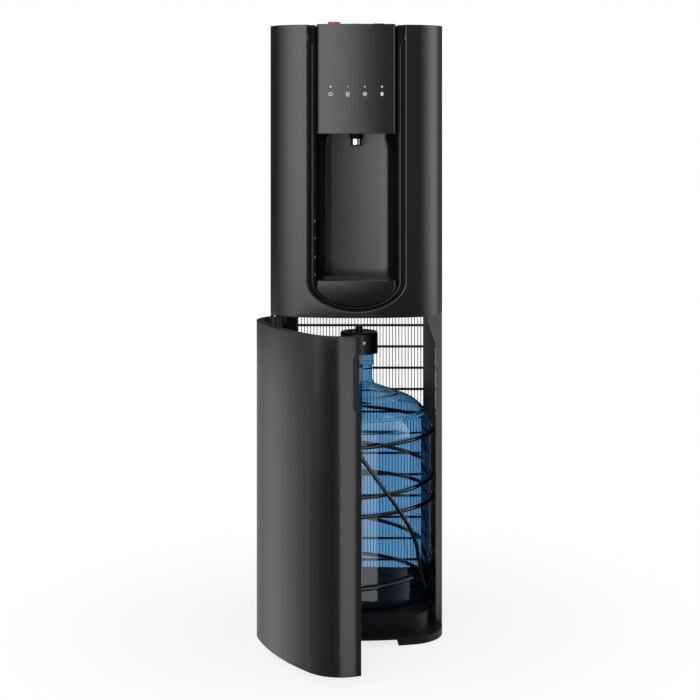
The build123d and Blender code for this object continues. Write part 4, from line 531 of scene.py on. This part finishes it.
def spun(profile, centre, columns=96):
    """A profile of (radius, height) carried round an upright axis: x = r cos t, y = r sin t."""
    t = np.linspace(0, 2 * math.pi, columns, endpoint=False)
    r, z = np.asarray(profile, float).T
    return np.stack([centre[0] + r[:, None] * np.cos(t), centre[1] + r[:, None] * np.sin(t),
                     np.broadcast_to(z[:, None], (len(z), columns))], -1)


def bow(first, middle, last, count):
    """Points on the circle through three: its centre is equally far from all of them."""
    a, b, c = (np.array(p, float) for p in (first, middle, last))
    centre = np.linalg.solve(2 * np.array([b - a, c - a]), [b @ b - a @ a, c @ c - a @ a])
    ends = [math.atan2(*(p - centre)[::-1]) for p in (a, b, c)]
    sweep = (ends[2] - ends[0]) % (2 * math.pi)
    if (ends[1] - ends[0]) % (2 * math.pi) > sweep:
        sweep -= 2 * math.pi
    t = ends[0] + sweep * np.linspace(0, 1, count)
    return centre + np.linalg.norm(a - centre) * np.c_[np.cos(t), np.sin(t)]


def run(first, last, count):
    """Points on a straight run without its ends."""
    return np.linspace(first, last, count + 2)[1:-1]


# %% [markdown]
# ## The bottle
# A blow-moulded bottle is thinnest where it was blown furthest.  It is one closed wall: the
# outer line from the foot up to the mouth, and the same line drawn in by the wall on the way
# back.  The foot is domed in, the neck steps in under its collar, and two faint rings stand
# where the mould's shoulder insert met its body.

# %% Bottle
FOOT_Z, HIP_Z, MOUTH_Z = 43.0, 350.0, 505.0
BODY_R, NECK_R, MOUTH_R = 130.0, 24.2, 27.0
WALL = 1.6
HEEL = (BODY_R, FOOT_Z + 14)
SHOULDER = (88.4, HIP_Z + 46)    # where the round shoulder runs into the cone
NECK_FOOT, NECK_HEAD = (NECK_R, 429), (NECK_R, 449)
COLLAR = (MOUTH_R, 455.5)
RINGS = ((372.0, 1.6), (403.5, 0.9))     # height and width of each faint ring
RING_PROUD = 0.7
LIP = 0.4                        # rounding of the rim

outer = np.concatenate([
    bow((0, FOOT_Z + 4), (60, FOOT_Z + 2.6), (104, FOOT_Z + 0.2), 14),
    bow((116, FOOT_Z), (125.9, FOOT_Z + 4.1), HEEL, 12),
    run(HEEL, (BODY_R, HIP_Z), 24),
    bow((BODY_R, HIP_Z), (112.06, HIP_Z + 30), SHOULDER, 40),
    run(SHOULDER, (36, 415.3), 30),
    bow((34, 416), (26.9, 420.6), NECK_FOOT, 12),
    run(NECK_FOOT, NECK_HEAD, 6),
    bow(NECK_HEAD, (25.2, 452.6), COLLAR, 7),
    run(COLLAR, (MOUTH_R, MOUTH_Z), 8),
])
heading = np.gradient(outer, axis=0)
heading /= np.linalg.norm(heading, axis=1)[:, None]
outward = np.c_[heading[:, 1], -heading[:, 0]]
rings = sum(RING_PROUD * np.exp(-((outer[:, 1] - z) / w) ** 2) for z, w in RINGS)
inner = outer - outward * WALL
inner[0, 0] = 0
outer = outer + outward * rings[:, None]
rim = [(MOUTH_R, MOUTH_Z), (MOUTH_R - LIP, MOUTH_Z + LIP),
       (MOUTH_R - WALL + LIP, MOUTH_Z + LIP), (MOUTH_R - WALL, MOUTH_Z)]
wall = np.concatenate([outer, rim, inner[::-1]])
bottle = piece_from("bottle_shell", [spun(wall, BOTTLE_AT, 160)], bottle_blue, "cabinet")
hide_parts("water_bottle")

# %% [markdown]
# ## Marks on the control head
# Under each lamp stands a small printed sign: power, heating, cooling and bottle empty.  Each
# is drawn as strokes in a flat millimetre plan, laid on the head's curve and raised by the
# thickness of a print.

# %% Signs
NOSE_R, NOSE_CY = 425.0, 255.0
LAMP_PITCH = 29.2
LAMP_X = tuple(LAMP_PITCH * step for step in (-1.5, -0.5, 0.5, 1.5))
LAMP_Z, SIGN_Z = 953.0, 940.6
SUNK, PRINTED = 0.3, 0.12        # a print starts inside the head and stands this far proud


def on_head(x, z, proud):
    """The head's curve: y = centre - sqrt(R squared - x squared), less what stands proud."""
    return np.c_[x, NOSE_CY - np.sqrt(NOSE_R ** 2 - x ** 2) - proud, z]


def stroke(path, width, at, closed=False, place=on_head):
    """A flat band along a path in the plan: half a width to each side of its heading."""
    path = np.asarray(path, float)
    ahead = (np.roll(path, -1, 0) - np.roll(path, 1, 0)) if closed else np.gradient(path, axis=0)
    ahead /= np.linalg.norm(ahead, axis=1)[:, None]
    side = np.c_[-ahead[:, 1], ahead[:, 0]] * width / 2
    corners = [(path + side, -SUNK), (path + side, PRINTED), (path - side, PRINTED),
               (path - side, -SUNK)]
    grid = np.stack([place(at[0] + p[:, 0], at[1] + p[:, 1], proud) for p, proud in corners], 1)
    if closed:
        return np.concatenate([grid, grid[:1]])
    caps = [np.repeat(grid[i].mean(0)[None, None], 4, 1) for i in (0, -1)]
    return np.concatenate([caps[0], grid, caps[1]])


def arc(radius, start, stop, count=24):
    """Points on a circle in the plan, in degrees from its top, clockwise."""
    a = np.radians(np.linspace(start, stop, count))
    return np.c_[radius * np.sin(a), radius * np.cos(a)]


def star_arm(degrees):
    """One arm of the snowflake and its two side needles, turned about the middle."""
    a = math.radians(degrees)
    turn = np.array([(math.cos(a), -math.sin(a)), (math.sin(a), math.cos(a))])
    lines = [[(0, 0), (0, 2), (0, 3.9)], [(0, 2.1), (0.6, 2.7), (1.2, 3.3)],
             [(0, 2.1), (-0.6, 2.7), (-1.2, 3.3)]]
    return [np.array(line) @ turn for line in lines]


wave_z = np.linspace(-3, 3, 16)
signs = {
    "sign_power": [stroke(arc(3.1, 28, 332), 1.15, (LAMP_X[0], SIGN_Z)),
                   stroke(run((0, 0.2), (0, 4.2), 4), 1.1, (LAMP_X[0], SIGN_Z))],
    "sign_heating": [stroke(np.c_[x + 0.45 * np.sin(wave_z * 1.5), wave_z + 0.4], 1.05,
                            (LAMP_X[1], SIGN_Z)) for x in (-2.4, 0, 2.4)]
    + [stroke(run((-4.2, -3.6), (4.2, -3.6), 5), 0.9, (LAMP_X[1], SIGN_Z))],
    "sign_cooling": [stroke(line, 0.75, (LAMP_X[2], SIGN_Z)) for degrees in range(0, 360, 60)
                     for line in star_arm(degrees)],
    "sign_empty": [stroke(arc(1.75, -135, 45, 16), 2.3, (LAMP_X[3] + 0.45, SIGN_Z + 0.45)),
                   stroke(arc(1.75, 45, 225, 16), 2.3, (LAMP_X[3] - 0.45, SIGN_Z - 0.45))],
}
print_grey = finish("screen_print_light_grey", "cfd0d2", 0.5, grain_mm=0.3)
for name, strokes in signs.items():
    piece_from(name, strokes, print_grey, "cabinet", sharp=30)

# %% [markdown]
# ## Lamps
# Four small lamps shine through drilled holes: yellow-green, red, blue and amber.  One
# material colours them by their place along the head, so they stay one piece.

# %% Lamps
LAMP_COLOURS = ("b9bf78", "cf5f68", "6d9dc2", "dca468")
LAMP_LIGHT = 0.75
LAMP_R, LAMP_PROUD, LAMP_SUNK = 1.5, 0.7, 2.0
lamp_glow, tree = blank("lit_acrylic_lamp")
place = add(tree, "ShaderNodeTexCoord")
split = add(tree, "ShaderNodeSeparateXYZ", _0=place.outputs["Object"])
share = add(tree, "ShaderNodeMapRange", _0=split.outputs["X"], _1=-2 * LAMP_PITCH * MM,
            _2=2 * LAMP_PITCH * MM)
tint = add(tree, "ShaderNodeValToRGB", _0=share.outputs[0])
tint.color_ramp.interpolation = "CONSTANT"
while len(tint.color_ramp.elements) < len(LAMP_COLOURS):
    tint.color_ramp.elements.new(0.5)
for i, (stop, code) in enumerate(zip(tint.color_ramp.elements, LAMP_COLOURS)):
    stop.position = i / len(LAMP_COLOURS)
    stop.color = linear(code)
skin = add(tree, "ShaderNodeBsdfPrincipled", Base_Color=tint.outputs[0], Roughness=0.15)
tree.links.new(tint.outputs[0], skin.inputs["Emission Color"])
skin.inputs["Emission Strength"].default_value = LAMP_LIGHT
add(tree, "ShaderNodeOutputMaterial", Surface=skin.outputs[0])


def dome(x, z):
    """A lamp's tip: a quarter of an ellipse spun about the line out of the head."""
    a = np.linspace(0, math.pi / 2, 9)
    r = np.concatenate([[0, LAMP_R], LAMP_R * np.cos(a)])
    out = np.concatenate([[-LAMP_SUNK, -LAMP_SUNK], LAMP_PROUD * np.sin(a)])
    t = np.linspace(0, 2 * math.pi, 24, endpoint=False)
    face = NOSE_CY - math.sqrt(NOSE_R ** 2 - x ** 2)
    return np.stack([x + r[:, None] * np.cos(t),
                     np.broadcast_to((face - out)[:, None], (len(r), len(t))),
                     z + r[:, None] * np.sin(t)], -1)


lamps = piece_from("lamp_tips", [dome(x, LAMP_Z) for x in LAMP_X], lamp_glow, "cabinet")
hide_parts("indicator_lenses")

# %% [markdown]
# ## Small pieces at the front
# A round bead runs along the channel's ledge and catches one thin line of light.  The spout
# has a black collar under the roof of the alcove and a black ring at its tip.

# %% Bead of the channel
BEAD_HALF_W, BEAD_DROP, BEAD_R = 75.4, 47.7, 2.0
ARCH_Z, LEDGE_Y, RIM_Z = 621.5, -152.0, 1058.0
half_turn = np.linspace(math.pi, 2 * math.pi, 60)
line = np.concatenate([
    run((-BEAD_HALF_W, RIM_Z), (-BEAD_HALF_W, ARCH_Z), 12),
    np.c_[BEAD_HALF_W * np.cos(half_turn), ARCH_Z + BEAD_DROP * np.sin(half_turn)],
    run((BEAD_HALF_W, ARCH_Z), (BEAD_HALF_W, RIM_Z), 12)])


def beading(line, radius, y, sides=16):
    """A round bar along a line in x and z: r cos t across the line and r sin t in depth."""
    ahead = np.gradient(line, axis=0)
    ahead /= np.linalg.norm(ahead, axis=1)[:, None]
    t = np.linspace(0, 2 * math.pi, sides, endpoint=False)
    off = radius * np.cos(t)
    depth = np.broadcast_to(y + radius * np.sin(t), (len(line), sides))
    bar = np.stack([line[:, :1] - ahead[:, 1:] * off, depth, line[:, 1:] + ahead[:, :1] * off],
                   -1)
    caps = [np.repeat(bar[i].mean(0)[None, None], sides, 1) for i in (0, -1)]
    return np.concatenate([caps[0], bar, caps[1]])


piece_from("channel_bead", [beading(line, BEAD_R, LEDGE_Y)], graphite, "cabinet")

# %% Spout's collar and ring
NOZZLE_AT = (0.0, -118.0)
collar = [(9.9, 863), (10.7, 863), (11, 863.4), (11, 872.9), (9.9, 872.9)]
tip = [(8.6, 851.7), (9.2, 851.7), (9.9, 852.4), (10.2, 853.6), (9.0, 853.6), (8.6, 852.6)]
piece_from("nozzle_collar", [spun(part, NOZZLE_AT, 64) for part in (collar, tip)], matt,
           "cabinet", along=True)

# %% [markdown]
# ## Marks on the rear switches
# Both rockers carry a bar above and a ring below, raised on their two slopes.

# %% Switch marks
ROCKERS = {"hot_switch": -38.0, "cold_switch": -8.0}
ROCKER_Z, ROCKER_FACE = 1012.0, 160.8
PIN_Y = ROCKER_FACE - 4.0
TIPPED, SLOPE = math.radians(7), math.radians(9)
CREST = 5.2                      # from the pin to the ridge between the slopes
MARK_UP = 4.9                    # from the ridge to the middle of a mark


def on_rocker(x, z, proud):
    """The slopes fall off from the crest by tan 9 degrees; then all turns 7 about the pin."""
    depth = CREST + proud - np.abs(z) * math.tan(SLOPE)
    return np.c_[x, PIN_Y + depth * math.cos(TIPPED) - z * math.sin(TIPPED),
                 ROCKER_Z + depth * math.sin(TIPPED) + z * math.cos(TIPPED)]


for body, x in ROCKERS.items():
    marks = [stroke(run((0, -2.4), (0, 2.4), 4), 0.8, (x, MARK_UP), place=on_rocker),
             stroke(arc(1.6, 0, 345), 0.7, (x, -MARK_UP), closed=True, place=on_rocker)]
    piece_from(body + "_marks", marks, print_grey, body, sharp=30)
